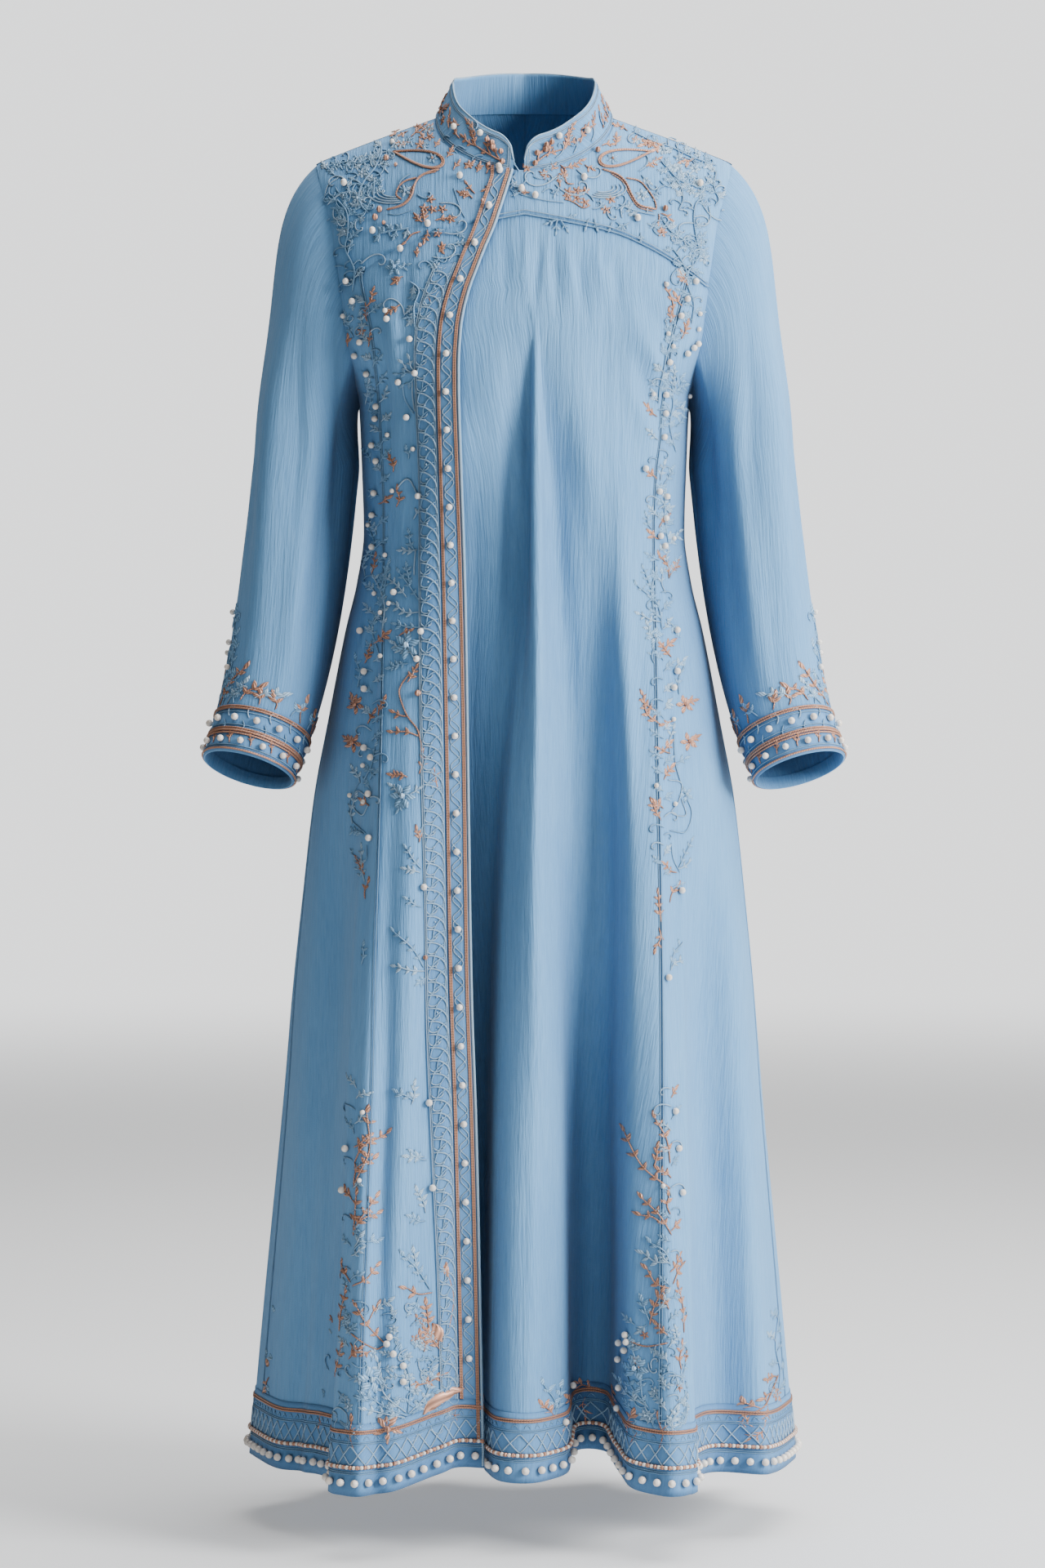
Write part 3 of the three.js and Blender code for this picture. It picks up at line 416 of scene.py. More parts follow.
def cloth_at(place, level):
    """Point of the cloth with its folds, before the creases."""
    point = body_at(look_up(ANGLES, place, level), level) + look_up(OFFSETS, place, level)
    out = unit(point * (0.5, 1, 0))
    return point + out * (OVERLAP_STANDOFF * layer_share(place, level))[..., None]


def place_of_angle(angle, level, low, high):
    """Place between two others that has an angle."""
    shape = np.broadcast(angle, level).shape
    return bisect(lambda m: look_up(ANGLES, m, level) < angle, np.full(shape, float(low)), np.full(shape, float(high)))


ARMHOLE_ANGLE = math.degrees(math.asin(ARMHOLE_SHARE ** (ROUNDNESS / 2)))


def armhole_place(angle_of, side, low, high):
    """Function from a level to the place of an edge of the armhole, read off a table."""
    levels = np.arange(ARMPIT_LEVEL, RISE + 1)
    angle = ARMHOLE_ANGLE + (90 - ARMHOLE_ANGLE) * smooth(levels / ARMPIT_LEVEL)
    places = place_of_angle(angle_of(angle), levels, low, high)
    return lambda level: np.where(level <= ARMPIT_LEVEL, side, np.interp(level, levels, places))


armhole_front_left = armhole_place(lambda a: a, SIDE_LEFT, UNDER_EDGE, SIDE_LEFT)
armhole_back_left = armhole_place(lambda a: 180 - a, SIDE_LEFT, SIDE_LEFT, CENTRE_BACK)
armhole_back_right = armhole_place(lambda a: 180 + a, SIDE_RIGHT, CENTRE_BACK, SIDE_RIGHT)
armhole_front_right = armhole_place(lambda a: 360 - a, SIDE_RIGHT, SIDE_RIGHT, EDGE)


def yoke_level(place_at):
    """Level of the yoke seam on lines given by their place at a level."""
    level = 100.0 + 0 * place_at(np.float64(100.0))
    for _ in range(30):
        x = cloth_at(place_at(level), level)[..., 0]
        level = level + 0.6 * (level_of_z(x, yoke_seam_z(np.abs(x)), True) - level)
    return level


def always(place):
    """Function from a level to one and the same place."""
    return lambda level: place + 0 * level


# Soft creases on the front (y below 0) and the back, in the heights and widths of the dress.
FRONT_CREASES = [
    # x, z at one end; x, z at the other; width; depth (a ridge is above 0)
    (-44, -200, -54, -860, 20.0, -8.0),
    (-9, -186, -16, -620, 8.0, -4.5),
    (9, -180, 15, -640, 7.0, 3.0),
    (5, -168, -5, -620, 5.0, -5.5),
    (10, -160, 9, -520, 4.5, 2.5),
    (34, -230, 50, -760, 13.0, -4.5),
    (62, -320, 82, -900, 14.0, -4.0),
    (84, -150, 70, -290, 22.0, -4.0),
    (60, -760, 64, -1230, 13.0, -7.0),
    (28, -106, 30, -190, 5.0, -2.2),
    (40, -108, 43, -170, 4.0, 1.6),
    (52, -110, 56, -200, 5.0, -1.9),
    (66, -114, 72, -175, 4.5, 1.5),
    (80, -118, 88, -190, 5.0, -1.6),
    (-20, -100, -17, -180, 5.0, -1.6),
    (0, -103, 1, -178, 4.0, 1.6),
    (12, -104, 12, -182, 4.0, -2.4),
    (104, -190, 128, -250, 9.2, 4.6),
    (100, -215, 126, -285, 8.0, -4.2),
    (98, -240, 120, -320, 9.2, 3.8),
    (108, -160, 134, -205, 8.0, -3.0),
    (-100, -170, -122, -205, 8.0, 2.7),
    (-108, -110, -112, -230, 6.0, -2.4),
    (-122, -150, -118, -260, 6.0, 2.4),
    (-130, -200, -122, -330, 6.0, -2.2),
    (-104, -250, -98, -420, 9.2, -3.0),
    (-88, -300, -84, -520, 10.3, 2.8),
    (36, -300, 46, -520, 9.2, 3.0),
    (84, -330, 92, -620, 11.5, 3.4),
    (104, -420, 108, -700, 10.3, -2.8),
    (58, -420, 70, -760, 10.3, -3.8),
    (-100, -560, -104, -900, 11.5, 3.8),
    (-86, -700, -88, -1060, 9.2, -4.2),
    (-120, -760, -128, -1120, 10.3, -3.8),
    (-58, -560, -56, -1000, 9.2, 3.0),
    (-150, -640, -164, -1050, 13.8, 4.6),
    (-172, -560, -190, -980, 13.8, -4.9),
    (150, -560, 170, -1000, 13.8, -4.6),
    (176, -620, 200, -1080, 14.9, 4.9),
    (-4, -560, -10, -1000, 10.3, -3.8),
    (20, -640, 24, -1040, 9.2, 3.4),
    (-118, -420, -138, -1900, 9, -6.0),
    (-134, -520, -160, -1900, 9, 5.5),
    (-149, -420, -270, -1900, 26, -16),
    (-182, -700, -232, -1900, 8, 6.0),
    (-74, -620, -70, -1900, 9, 4.6),
    (134, -420, 166, -1900, 10, -5.5),
    (156, -480, 204, -1900, 20, -17),
    (186, -600, 240, -1900, 11, 9),
    (118, -700, 142, -1900, 10, 5.0),
    (60, -560, 62, -1900, 16, -9),
    (92, -700, 104, -1900, 8, 4.0),
    (-12, -430, -17, -1900, 13, 8.5),
    (28, -480, 40, -1900, 8, 4.4),
]

BACK_CREASES = [
    (0, -60, 4, -260, 14, -2.4),
    (-60, -120, -84, -300, 14, 2.8),
    (62, -130, 90, -310, 15, 2.6),
    (-40, -330, -36, -700, 14, -4.0),
    (34, -320, 40, -720, 14, -3.8),
    (-110, -300, -120, -600, 16, 3.4),
    (112, -310, 120, -640, 15, -3.4),
    (-88, -420, -104, -1900, 15, -6.5),
    (84, -430, 98, -1900, 15, 6.0),
    (-18, -560, -30, -1900, 14, 5.0),
    (50, -600, 58, -1900, 13, -7.0),
    (-62, -640, -70, -1900, 12, 4.5),
    (-146, -520, -176, -1900, 17, 6.5),
    (-180, -600, -214, -1900, 15, -8.0),
    (142, -520, 168, -1900, 16, -8.0),
    (176, -600, 210, -1900, 15, 6.5),
    (16, -700, 20, -1900, 10, -4.0),
]


def crease_depth(points):
    """How far the creases move points out of the cloth."""
    depth = np.zeros(points.shape[:-1])
    for rows, on_side in ((FRONT_CREASES, points[..., 1] < 0), (BACK_CREASES, points[..., 1] >= 0)):
        for x0, z0, x1, z1, width, amount in rows:
            along = np.clip((z0 - points[..., 2]) / (z0 - z1), 0, 1)
            off = (points[..., 0] - x0 - (x1 - x0) * along - 1.5 * np.sin(7 * along + x0)) / width
            depth += np.where(on_side, amount * np.sin(np.pi * along) ** 1.5 * np.exp(-off * off), 0)
    return depth


def outward(place, level):
    """Outward normal of the cloth, without its creases."""
    across = cloth_at(place + NORMAL_STEP, level) - cloth_at(place - NORMAL_STEP, level)
    up = cloth_at(place, np.minimum(level + 1, RISE)) - cloth_at(place, level - 1)
    return unit(np.cross(across, up))


def surface(place, level):
    """Point and outward normal of the cloth as worn, with its creases."""
    place, level = np.broadcast_arrays(np.asarray(place, float), np.asarray(level, float))
    point, normal = cloth_at(place, level), outward(place, level)
    return point + normal * crease_depth(point)[..., None], normal


def find(x, z, low, high):
    """Place and level where the front has an x and a height, between two places."""
    x, z = np.broadcast_arrays(np.asarray(x, float), np.asarray(z, float))
    level = level_of_z(x, z, True)
    turn = 360 if high > CENTRE_BACK else 0
    place = place_of_angle(turn + angle_of_x(x, level), level, low, high)
    for _ in range(14):
        point = cloth_at(place, level)
        slope = (cloth_at(place + 0.05, level) - point)[..., 0] / 0.05
        slope = np.where(np.abs(slope) < 4, 4, slope)
        place = np.clip(place + np.clip((x - point[..., 0]) / slope, -0.25, 0.25) * 0.8, low, high)
        level = np.clip(level + (z - point[..., 2]) * 0.9, HEM_LEVEL, RISE)
    return place, level


def between(low, high, share):
    """Function from a level to the place at a share of the way between two lines; share may be an array."""
    return lambda level: low(level) + (high(level) - low(level)) * share


def hanging_grid(low, high, width, armhole_column=None):
    """Places and levels of a front panel about so wide at the hem, from the yoke seam to the hem."""
    columns = max(8, round(width / COLUMN_STEP))
    share = np.linspace(0, 1, columns)
    line = between(low, high, share)
    tops = yoke_level(line)
    if armhole_column is not None:
        tops[armhole_column] = YOKE_TOP_LEVEL
    above = np.linspace(1, 0, round(YOKE_TOP_LEVEL / ROW_STEP) + 1)[:-1]
    below = np.linspace(0, HEM_LEVEL, round(-HEM_LEVEL / ROW_STEP) + 1)
    levels = np.concatenate([above[:, None] * tops, np.repeat(below[:, None], columns, 1)])
    return line(levels), levels


def neck_z(x, front):
    """Height of the neckline at an x."""
    share = np.clip(1 - (x / NECK_HALF) ** 2, 0, None)
    return (NECK_FRONT_DROP if front else NECK_BACK_RISE) * np.sqrt(share)


def top_level(x, front):
    """Level of the neckline at an x, and of the shoulder seam beyond it."""
    return np.where(np.abs(x) > NECK_HALF - 0.01, RISE, level_of_z(x, neck_z(x, front), front))


def place_of_x(x, level, side, front):
    """Place of an x on the front or the back of one side, where no fold moves it."""
    if front:
        low, high = (UNDER_EDGE, SIDE_LEFT) if side > 0 else (SIDE_RIGHT, EDGE)
        angle = (0 if side > 0 else 360) + angle_of_x(x, level)
    else:
        low, high = (SIDE_LEFT, CENTRE_BACK) if side > 0 else (CENTRE_BACK, SIDE_RIGHT)
        angle = 180 - angle_of_x(x, level)
    return place_of_angle(angle, level, low, high)


def tops_along(turns, side, front, fine):
    """x and level of the tops of lines on the neckline and the shoulder seam, and their number along it."""
    number = np.linspace(0, len(turns) + len(SHOULDER_SHARES) - 1, fine)
    neck = NECK_HALF * np.sin(np.radians(np.interp(number, range(len(turns)), turns)))
    shoulder_end = ARMHOLE_SHARE * half_at(RISE)
    along = np.interp(number, len(turns) - 1 + np.arange(5), (0, *SHOULDER_SHARES))
    on_shoulder = number > len(turns) - 1
    x = np.where(on_shoulder, side * (NECK_HALF + (shoulder_end - NECK_HALF) * along), neck)
    return number, x, top_level(x, front)


def yoke_grid(turns, seam_lines, side, fine):
    """Places and levels of a front yoke, from the neckline and the shoulder seam to the yoke seam."""
    number, x, tops = tops_along(turns, side, True, fine)
    first = np.clip(number.astype(int), 0, len(seam_lines) - 2)
    part = number - first

    def seam_place(level):
        all_lines = np.stack([line(level) for line in seam_lines])
        column = np.arange(len(number))
        return all_lines[first, column] * (1 - part) + all_lines[first + 1, column] * part

    seam_level = yoke_level(lambda level: seam_place(level + 0 * number))
    seam_level[-1] = YOKE_TOP_LEVEL
    top_place = place_of_x(x, tops, side, True)
    down = np.linspace(0, 1, YOKE_ROWS)[:, None]
    level = tops + (seam_level - tops) * down
    seams = np.stack([seam_place(row) for row in level])
    share = np.where(number > len(turns) + len(SHOULDER_SHARES) - 1.001, 1, down)
    place = top_place + (seams - top_place) * share
    return (place, level) if side > 0 else (place[:, ::-1], level[:, ::-1])


def back_grid(side):
    """Places and levels of a back, from the neckline and the shoulder seam to the hem."""
    number, x, tops = tops_along([side * t for t in NECK_TURNS["back"]], side, False, BACK_COLUMNS)
    armhole = armhole_back_left if side > 0 else armhole_back_right
    top_place = place_of_x(x, tops, side, False)
    share = number / number[-1]
    above = np.linspace(RISE, 0, round(RISE / ROW_STEP) + 1)[:-1]
    below = np.linspace(0, HEM_LEVEL, round(-HEM_LEVEL / ROW_STEP) + 1)
    arm_levels = np.concatenate([above, below])[:, None]
    level = np.where(arm_levels > 0, tops * arm_levels / RISE, arm_levels)
    spread = CENTRE_BACK + (armhole(level) - CENTRE_BACK) * share
    blend = smooth(level / tops)
    place = np.where(share > 0.9999, armhole(level), spread + (top_place - spread) * blend)
    return (place[:, ::-1], level[:, ::-1]) if side > 0 else (place, level)


def grid_normals(points, closed=False):
    """Outward normals of a grid whose rows run down and whose columns run towards +X on the front."""
    if closed:
        padded = np.concatenate([points[:, -1:], points, points[:, :1]], 1)
        across = padded[:, 2:] - padded[:, :-2]
    else:
        across = np.gradient(points, axis=1)
    down = np.gradient(points, axis=0)
    return unit(np.cross(down, across))


# Sleeve, on the +X side. Its turn goes round from the armpit by the front.
def spine(share):
    """Catmull-Rom curve through the centres of the sleeve's sections, with centripetal steps."""
    points = np.array([row[:3] for row in SLEEVE_SECTIONS], float)
    ends = np.concatenate([[2 * points[0] - points[1]], points, [2 * points[-1] - points[-2]]])
    at = np.clip(np.asarray(share, float), 0, 1) * (len(points) - 1)
    i = np.minimum(at.astype(int), len(points) - 2)
    s = (at - i)[..., None]
    p0, p1, p2, p3 = ends[i], ends[i + 1], ends[i + 2], ends[i + 3]
    pairs = ((p0, p1), (p1, p2), (p2, p3))
    d0, d1, d2 = (np.maximum(np.linalg.norm(b - a, axis=-1, keepdims=True) ** 0.5, 1e-4) for a, b in pairs)
    t1 = ((p1 - p0) / d0 - (p2 - p0) / (d0 + d1) + (p2 - p1) / d1) * d1
    t2 = ((p2 - p1) / d1 - (p3 - p1) / (d1 + d2) + (p3 - p2) / d2) * d1
    c2 = -3 * p1 + 3 * p2 - 2 * t1 - t2
    c3 = 2 * p1 - 2 * p2 + t1 + t2
    return p1 + s * (t1 + s * (c2 + s * c3)), unit(t1 + s * (2 * c2 + 3 * s * c3))


sleeve_width = curve([(i, row[3]) for i, row in enumerate(SLEEVE_SECTIONS)])
sleeve_depth = curve([(i, row[4]) for i, row in enumerate(SLEEVE_SECTIONS)])


def sleeve_ring(turn, share):
    """Point of the sleeve's tube and the way it runs, at a share of its length."""
    turn, share = np.broadcast_arrays(turn, share)
    centre, axis = spine(share)
    width = unit(np.array([1.0, 0, 0]) - axis * axis[..., :1])
    depth = unit(np.cross(axis, width))
    at = share * (len(SLEEVE_SECTIONS) - 1)
    round_it = turn * 2 * np.pi
    wide = width * (-sleeve_width(at) * np.cos(round_it))[..., None]
    return centre + wide + depth * (sleeve_depth(at) * np.sin(round_it))[..., None], axis


def armhole_loop(count):
    """Points of the +X armhole, their turn by length, and the way out of it along the cloth."""
    rising = np.concatenate([[ARMPIT_LEVEL], np.linspace(-36, 0, 14), np.linspace(6, RISE, 60)])
    places = np.concatenate([armhole_front_left(rising), armhole_back_left(rising[::-1])[1:-1]])
    levels = np.concatenate([rising, rising[::-1][1:-1]])
    points = cloth_at(places, levels)
    normals = outward(places, levels)
    normals[levels > RISE - 0.1, 1] = 0
    normals = unit(normals)
    points = points - normals * TUCK_DEPTH
    along = unit(np.roll(points, -1, 0) - np.roll(points, 1, 0))
    out = unit(np.cross(normals, along))
    out *= np.sign(np.sum(out * (SLEEVE_HEAD - points), 1))[:, None]
    out[0] = (0, 0, 1)
    points, out = np.vstack([points, points[:1]]), np.vstack([out, out[:1]])
    steps = np.linalg.norm(np.diff(points, axis=0), axis=1)
    turns = np.concatenate([[0], np.cumsum(steps)[:-1] / steps.sum(), [1]])
    wanted = np.arange(count) / count
    return wanted, sample(wanted, turns, points), unit(sample(wanted, turns, out))


def sleeve_fold(turn, down):
    """How far the folds move the sleeve out, at a turn and a share of its rows."""
    depth = 0.0
    for centre, slant, first, last, amount, width in SLEEVE_FOLDS:
        along = np.clip((down - first) / (last - first), 0, 1)
        off = (turn - centre - slant * (along - 0.5)) / width
        depth = depth + amount * np.sin(np.pi * along) ** 2 * np.exp(-off * off)
    return depth


def sleeve_grid(count, rows):
    """Points of the +X sleeve from the armhole to the cuff's end."""
    turn, start, out = armhole_loop(count)
    start = start - out * TUCK
    down = np.linspace(0, 1, rows)
    s = (down[down < CAP_SHARE] / CAP_SHARE)[:, None, None]
    end, axis = sleeve_ring(turn, 0.0)
    reach = np.linalg.norm(end - start, axis=1, keepdims=True) * CAP_FULLNESS
    top = (1 - np.cos(turn * 2 * np.pi)) / 2
    lead = unit(unit(end - start) + np.array([1.0, 0, 0]) * (0.3 + 0.85 * top)[:, None])
    cap = start * (1 - 3 * s * s + 2 * s**3) + lead * reach * (s - 2 * s * s + s**3)
    cap = cap + end * (3 * s * s - 2 * s**3) + axis * reach * (s**3 - s * s)
    tube_share = (down[down >= CAP_SHARE] - CAP_SHARE) / (1 - CAP_SHARE)
    tube = sleeve_ring(turn[None], tube_share[:, None])[0]
    points = np.concatenate([cap, tube])
    depth = sleeve_fold(turn, down[:, None])
    return points + grid_normals(points, closed=True) * depth[..., None]


# Meshes
def add_mesh(name, points, faces, material, slot, uv):
    """An object of points in millimetres and faces of three or four corners, riding on the dress."""
    mesh = bpy.data.meshes.new(name)
    faces = np.asarray(faces, np.int32)
    corners = faces.shape[1]
    mesh.vertices.add(len(points))
    mesh.vertices.foreach_set("co", (fitted(points) / 1000).astype(np.float32).ravel())
    mesh.loops.add(faces.size)
    mesh.loops.foreach_set("vertex_index", faces.ravel())
    mesh.polygons.add(len(faces))
    mesh.polygons.foreach_set("loop_start", np.arange(len(faces), dtype=np.int32) * corners)
    mesh.polygons.foreach_set("use_smooth", np.full(len(faces), True))
    layer = mesh.uv_layers.new(name="cloth")
    layer.data.foreach_set("uv", np.asarray(uv, np.float32)[faces.ravel()].ravel())
    mesh.update(calc_edges=True)
    mesh.validate()
    mesh.materials.append(material)
    made = bpy.data.objects.new(name, mesh)
    bpy.context.scene.collection.objects.link(made)
    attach(made, "root")
    return made


def grid_faces(rows, columns, closed=False):
    """Faces of a grid whose outward side is that of grid_normals."""
    spans = columns if closed else columns - 1
    r, c = np.meshgrid(np.arange(rows - 1), np.arange(spans), indexing="ij")
    at = lambda rr, cc: rr * columns + cc % columns
    return np.stack([at(r, c), at(r + 1, c), at(r + 1, c + 1), at(r, c + 1)], -1).reshape(-1, 4)


def turn_in(points, inward, side):
    """The grid with one edge folded back inside over a short hem: side is bottom, top, first or last."""
    swap = side in ("first", "last")
    grid = points.swapaxes(0, 1) if swap else points
    inward = inward.swapaxes(0, 1) if swap else inward
    if side in ("top", "first"):
        grid, inward = grid[::-1], inward[::-1]
    edge, into = grid[-1], inward[-1]
    back = unit(grid[-3] - edge)
    rows = [edge + into * CLOTH_THICK * 0.5 - back * CLOTH_THICK * 0.35]
    rows.append(edge + into * CLOTH_THICK)
    along = np.linalg.norm(grid - edge, axis=-1).mean(1)
    for length in (TURNED_IN * 0.5, TURNED_IN):
        n = int(np.argmin(np.abs(along - length)))
        rows.append(grid[n] + inward[n] * CLOTH_THICK)
    grid = np.concatenate([grid, np.stack(rows)])
    if side in ("top", "first"):
        grid = grid[::-1]
    return grid.swapaxes(0, 1) if swap else grid


def cloth_uv(points, middle):
    """Lengths on the cloth in metres: across from a middle column, and down from the top row."""
    across, down = lengths(points, 1), lengths(points)
    return np.stack([across - across[:, middle : middle + 1], -down], -1) / 1000


# Materials
def colour(r, g, b):
    return (r, g, b, 1.0)


class Shader:
    """A material of nodes, with the few helpers that its recipes need."""

    def __init__(self, name, base, roughness, **sockets):
        self.material = bpy.data.materials.new(name)
        self.material.use_nodes = True
        self.tree = self.material.node_tree
        self.main = self.tree.nodes["Principled BSDF"]
        self.main.inputs["Base Color"].default_value = base
        self.main.inputs["Roughness"].default_value = roughness
        for socket, value in sockets.items():
            self.main.inputs[socket.replace("_", " ")].default_value = value

    def node(self, kind, **inputs):
        made = self.tree.nodes.new("ShaderNode" + kind)
        for key, value in inputs.items():
            key = key.replace("_", " ")
            if key in made.inputs:
                self.plug(value, made.inputs[key])
            else:
                setattr(made, key.replace(" ", "_"), value)
        return made

    def plug(self, value, socket):
        if isinstance(value, bpy.types.NodeSocket):
            self.tree.links.new(value, socket)
        else:
            socket.default_value = value

    def noise(self, source, scale, detail, size=1.0, rough=0.5, distortion=0.0):
        where = self.node("Mapping", Vector=source, Scale=scale).outputs[0]
        made = self.node("TexNoise", Vector=where, Scale=size, Detail=detail, Roughness=rough, Distortion=distortion)
        return made.outputs["Fac"]

    def math(self, operation, first, second):
        made = self.node("Math", operation=operation)
        self.plug(first, made.inputs[0])
        self.plug(second, made.inputs[1])
        return made.outputs[0]

    def ramp(self, factor, stops):
        made = self.node("ValToRGB", Fac=factor)
        ramp = made.color_ramp
        while len(ramp.elements) < len(stops):
            ramp.elements.new(0.5)
        for element, (at, tint) in zip(ramp.elements, stops):
            element.position, element.color = at, tint
        return made.outputs[0]

    def bump(self, height, strength, distance):
        made = self.node("Bump", Height=height, Strength=strength, Distance=distance)
        self.plug(made.outputs[0], self.main.inputs["Normal"])


# How far the painted shade of the cloth looks for nearby surfaces that hem it in
PAINTED_SHADE_REACH = 0.13


def crepe(name, light, dark, crinkle):
    """Crinkled crepe: long fine crinkles down the cloth, and a fine weave, with painted shade darkening its colour in
    recesses and creases. UV is in metres.
    """
    s = Shader(name, light, 0.78, Sheen_Weight=0.12, Sheen_Roughness=0.45)
    uv = s.node("UVMap", uv_map="cloth").outputs[0]
    fine = s.noise(uv, (520, 34, 1), detail=3, rough=0.62, distortion=0.35)
    broad = s.noise(uv, (120, 7, 1), detail=2, distortion=0.3)
    weave = s.noise(uv, (1500, 1300, 1), detail=1)
    height = s.math("ADD", s.math("MULTIPLY", fine, 0.7), s.math("MULTIPLY", broad, 0.8))
    height = s.math("ADD", height, s.math("MULTIPLY", weave, 0.18))
    s.bump(height, crinkle, 0.0015)
    patch = s.noise(uv, (9, 4, 1), detail=3)
    tone = s.math("ADD", s.math("MULTIPLY", fine, 0.55), s.math("MULTIPLY", patch, 0.45))
    tint = s.ramp(tone, [(0.3, dark), (0.7, light)])
    # Painted shade: the cloth's colour is darkened in creases, recesses and where parts meet, the more they are hemmed
    # in
    painted_shade_open_share = s.node("AmbientOcclusion", samples=5, Distance=PAINTED_SHADE_REACH).outputs["AO"]
    depth = s.ramp(painted_shade_open_share, [(0.2, colour(0.2, 0.27, 0.35)), (0.9, colour(1, 1, 1))])
    mix = s.node("Mix", data_type="RGBA", blend_type="MULTIPLY", clamp_result=False)
    mix.inputs["Factor"].default_value = 1.0
    s.plug(tint, mix.inputs[6])
    s.plug(depth, mix.inputs[7])
    s.plug(mix.outputs[2], s.main.inputs["Base Color"])
    return s.material


CREPE = crepe("crepe", colour(0.2, 0.455, 0.76), colour(0.115, 0.33, 0.63), 1.0)
BAND = crepe("band", colour(0.15, 0.37, 0.65), colour(0.1, 0.27, 0.55), 0.5)


def cloth_piece(name, grid, material, slot, uv):
    """A sheet of cloth in place of the solid of that name."""
    faces = grid_faces(*grid.shape[:2])
    piece = add_mesh(name + "_cloth", grid.reshape(-1, 3), faces, material, slot, uv.reshape(-1, 2))
    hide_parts(name)


def panel(name, place, level, sunk, turned=(), plain=False):
    """A piece of the body, with some edges folded back inside and some sunk under the next piece."""
    points, normals = surface(place, level)
    if "first" in sunk:
        points[:, 0] -= normals[:, 0] * SEAM_SINK
    if "last" in sunk:
        points[:, -1] -= normals[:, -1] * SEAM_SINK
    if "top" in sunk:
        points[0] -= normals[0] * EDGE_SINK
    if "bottom" in sunk:
        points[-1] -= normals[-1] * EDGE_SINK
    inward = -normals
    for side in turned:
        grown = turn_in(points, inward, side)
        rows, columns = grown.shape[0] - points.shape[0], grown.shape[1] - points.shape[1]
        pad_rows = (rows, 0) if side == "top" else (0, rows)
        pad_columns = (columns, 0) if side == "first" else (0, columns)
        inward = np.pad(inward, (pad_rows, pad_columns, (0, 0)), mode="edge")
        points = grown
    uv = points[..., (0, 2)] / 1000 if plain else cloth_uv(points, points.shape[1] // 2)
    cloth_piece(name, points, CREPE, "crepe", uv)


princess_left, princess_right = always(PRINCESS_LEFT), always(PRINCESS_RIGHT)
panel("front_under", *hanging_grid(always(UNDER_EDGE), princess_left, 560), turned=("bottom",), sunk=("last", "top"))
panel(
    "side_front_left", *hanging_grid(princess_left, armhole_front_left, 250, -1), turned=("bottom",),
    sunk=("first", "last", "top"),
)
panel(
    "side_front_right", *hanging_grid(armhole_front_right, princess_right, 250, 0), turned=("bottom",),
    sunk=("first", "last", "top"),
)
panel(
    "front_overlap", *hanging_grid(princess_right, always(EDGE), 160), turned=("bottom", "last"), sunk=("first", "top"),
)
left_seams = [
    *[always(p) for p in range(UNDER_EDGE, PRINCESS_LEFT - 1)],
    *[always(PRINCESS_LEFT - 2 + p) for p in (0.5, 1, 1.5, 2)],
    between(princess_left, armhole_front_left, 0.5),
    armhole_front_left,
]
right_seams = [
    always(EDGE),
    *[between(always(EDGE), princess_right, p) for p in (0.04, 0.2, 0.21, 0.4)],
    *[between(always(EDGE), princess_right, p) for p in (0.5, 0.6, 0.7, 0.8, 0.9, 1)],
    between(princess_right, armhole_front_right, 1 / 3),
    between(princess_right, armhole_front_right, 2 / 3),
    armhole_front_right,
]
panel("yoke_left", *yoke_grid(NECK_TURNS["left"], left_seams, 1, 74), sunk=("last", "top", "bottom"), plain=True)
panel(
    "yoke_right", *yoke_grid(NECK_TURNS["right"], right_seams, -1, 60), turned=("last",),
    sunk=("first", "top", "bottom"), plain=True,
)
panel("back_left", *back_grid(1), turned=("bottom",), sunk=("first", "last", "top"))
panel("back_right", *back_grid(-1), turned=("bottom",), sunk=("first", "last", "top"))


def sleeve(side):
    """The sleeve of one side, its end folded back inside."""
    points = sleeve_grid(SLEEVE_COLUMNS, SLEEVE_ROWS)
    if side < 0:
        points = (points * (-1, 1, 1))[:, ::-1]
    normals = grid_normals(points, closed=True)
    points = turn_in(points, -normals, "bottom")
    wide = np.concatenate([points, points[:, :1]], 1)
    name = "sleeve_left" if side > 0 else "sleeve_right"
    cloth_piece(name, wide, CREPE, "crepe", cloth_uv(wide, points.shape[1] // 2))


sleeve(1)
sleeve(-1)


def neck_ring():
    """Points of the neckline from the left front tip by the nape to the right front tip."""
    parts = []
    for turns, side, front, flip in (
        (NECK_TURNS["left"], 1, True, False),
        (NECK_TURNS["back"], 1, False, True),
        ([-t for t in NECK_TURNS["back"]], -1, False, False),
        (NECK_TURNS["right"], -1, True, True),
    ):
        fine = np.interp(np.linspace(0, len(turns) - 1, 70), range(len(turns)), turns)
        x = NECK_HALF * np.sin(np.radians(fine))
        level = top_level(x, front)
        points = cloth_at(place_of_x(x, level, side, front), level)
        if front and side > 0:
            points = points[points[:, 0] > 0]
        parts.append(points[::-1] if flip else points)
    ring = np.concatenate(parts)
    length = lengths(ring)
    distinct = np.concatenate([[True], np.diff(length) > 0.05])
    ring, length = ring[distinct], length[distinct]
    even = np.linspace(0, length[-1], COLLAR_COLUMNS)
    return sample(even, length, ring), even


ring, ring_along = neck_ring()
ring_away = unit(ring * (1, 1, 0))


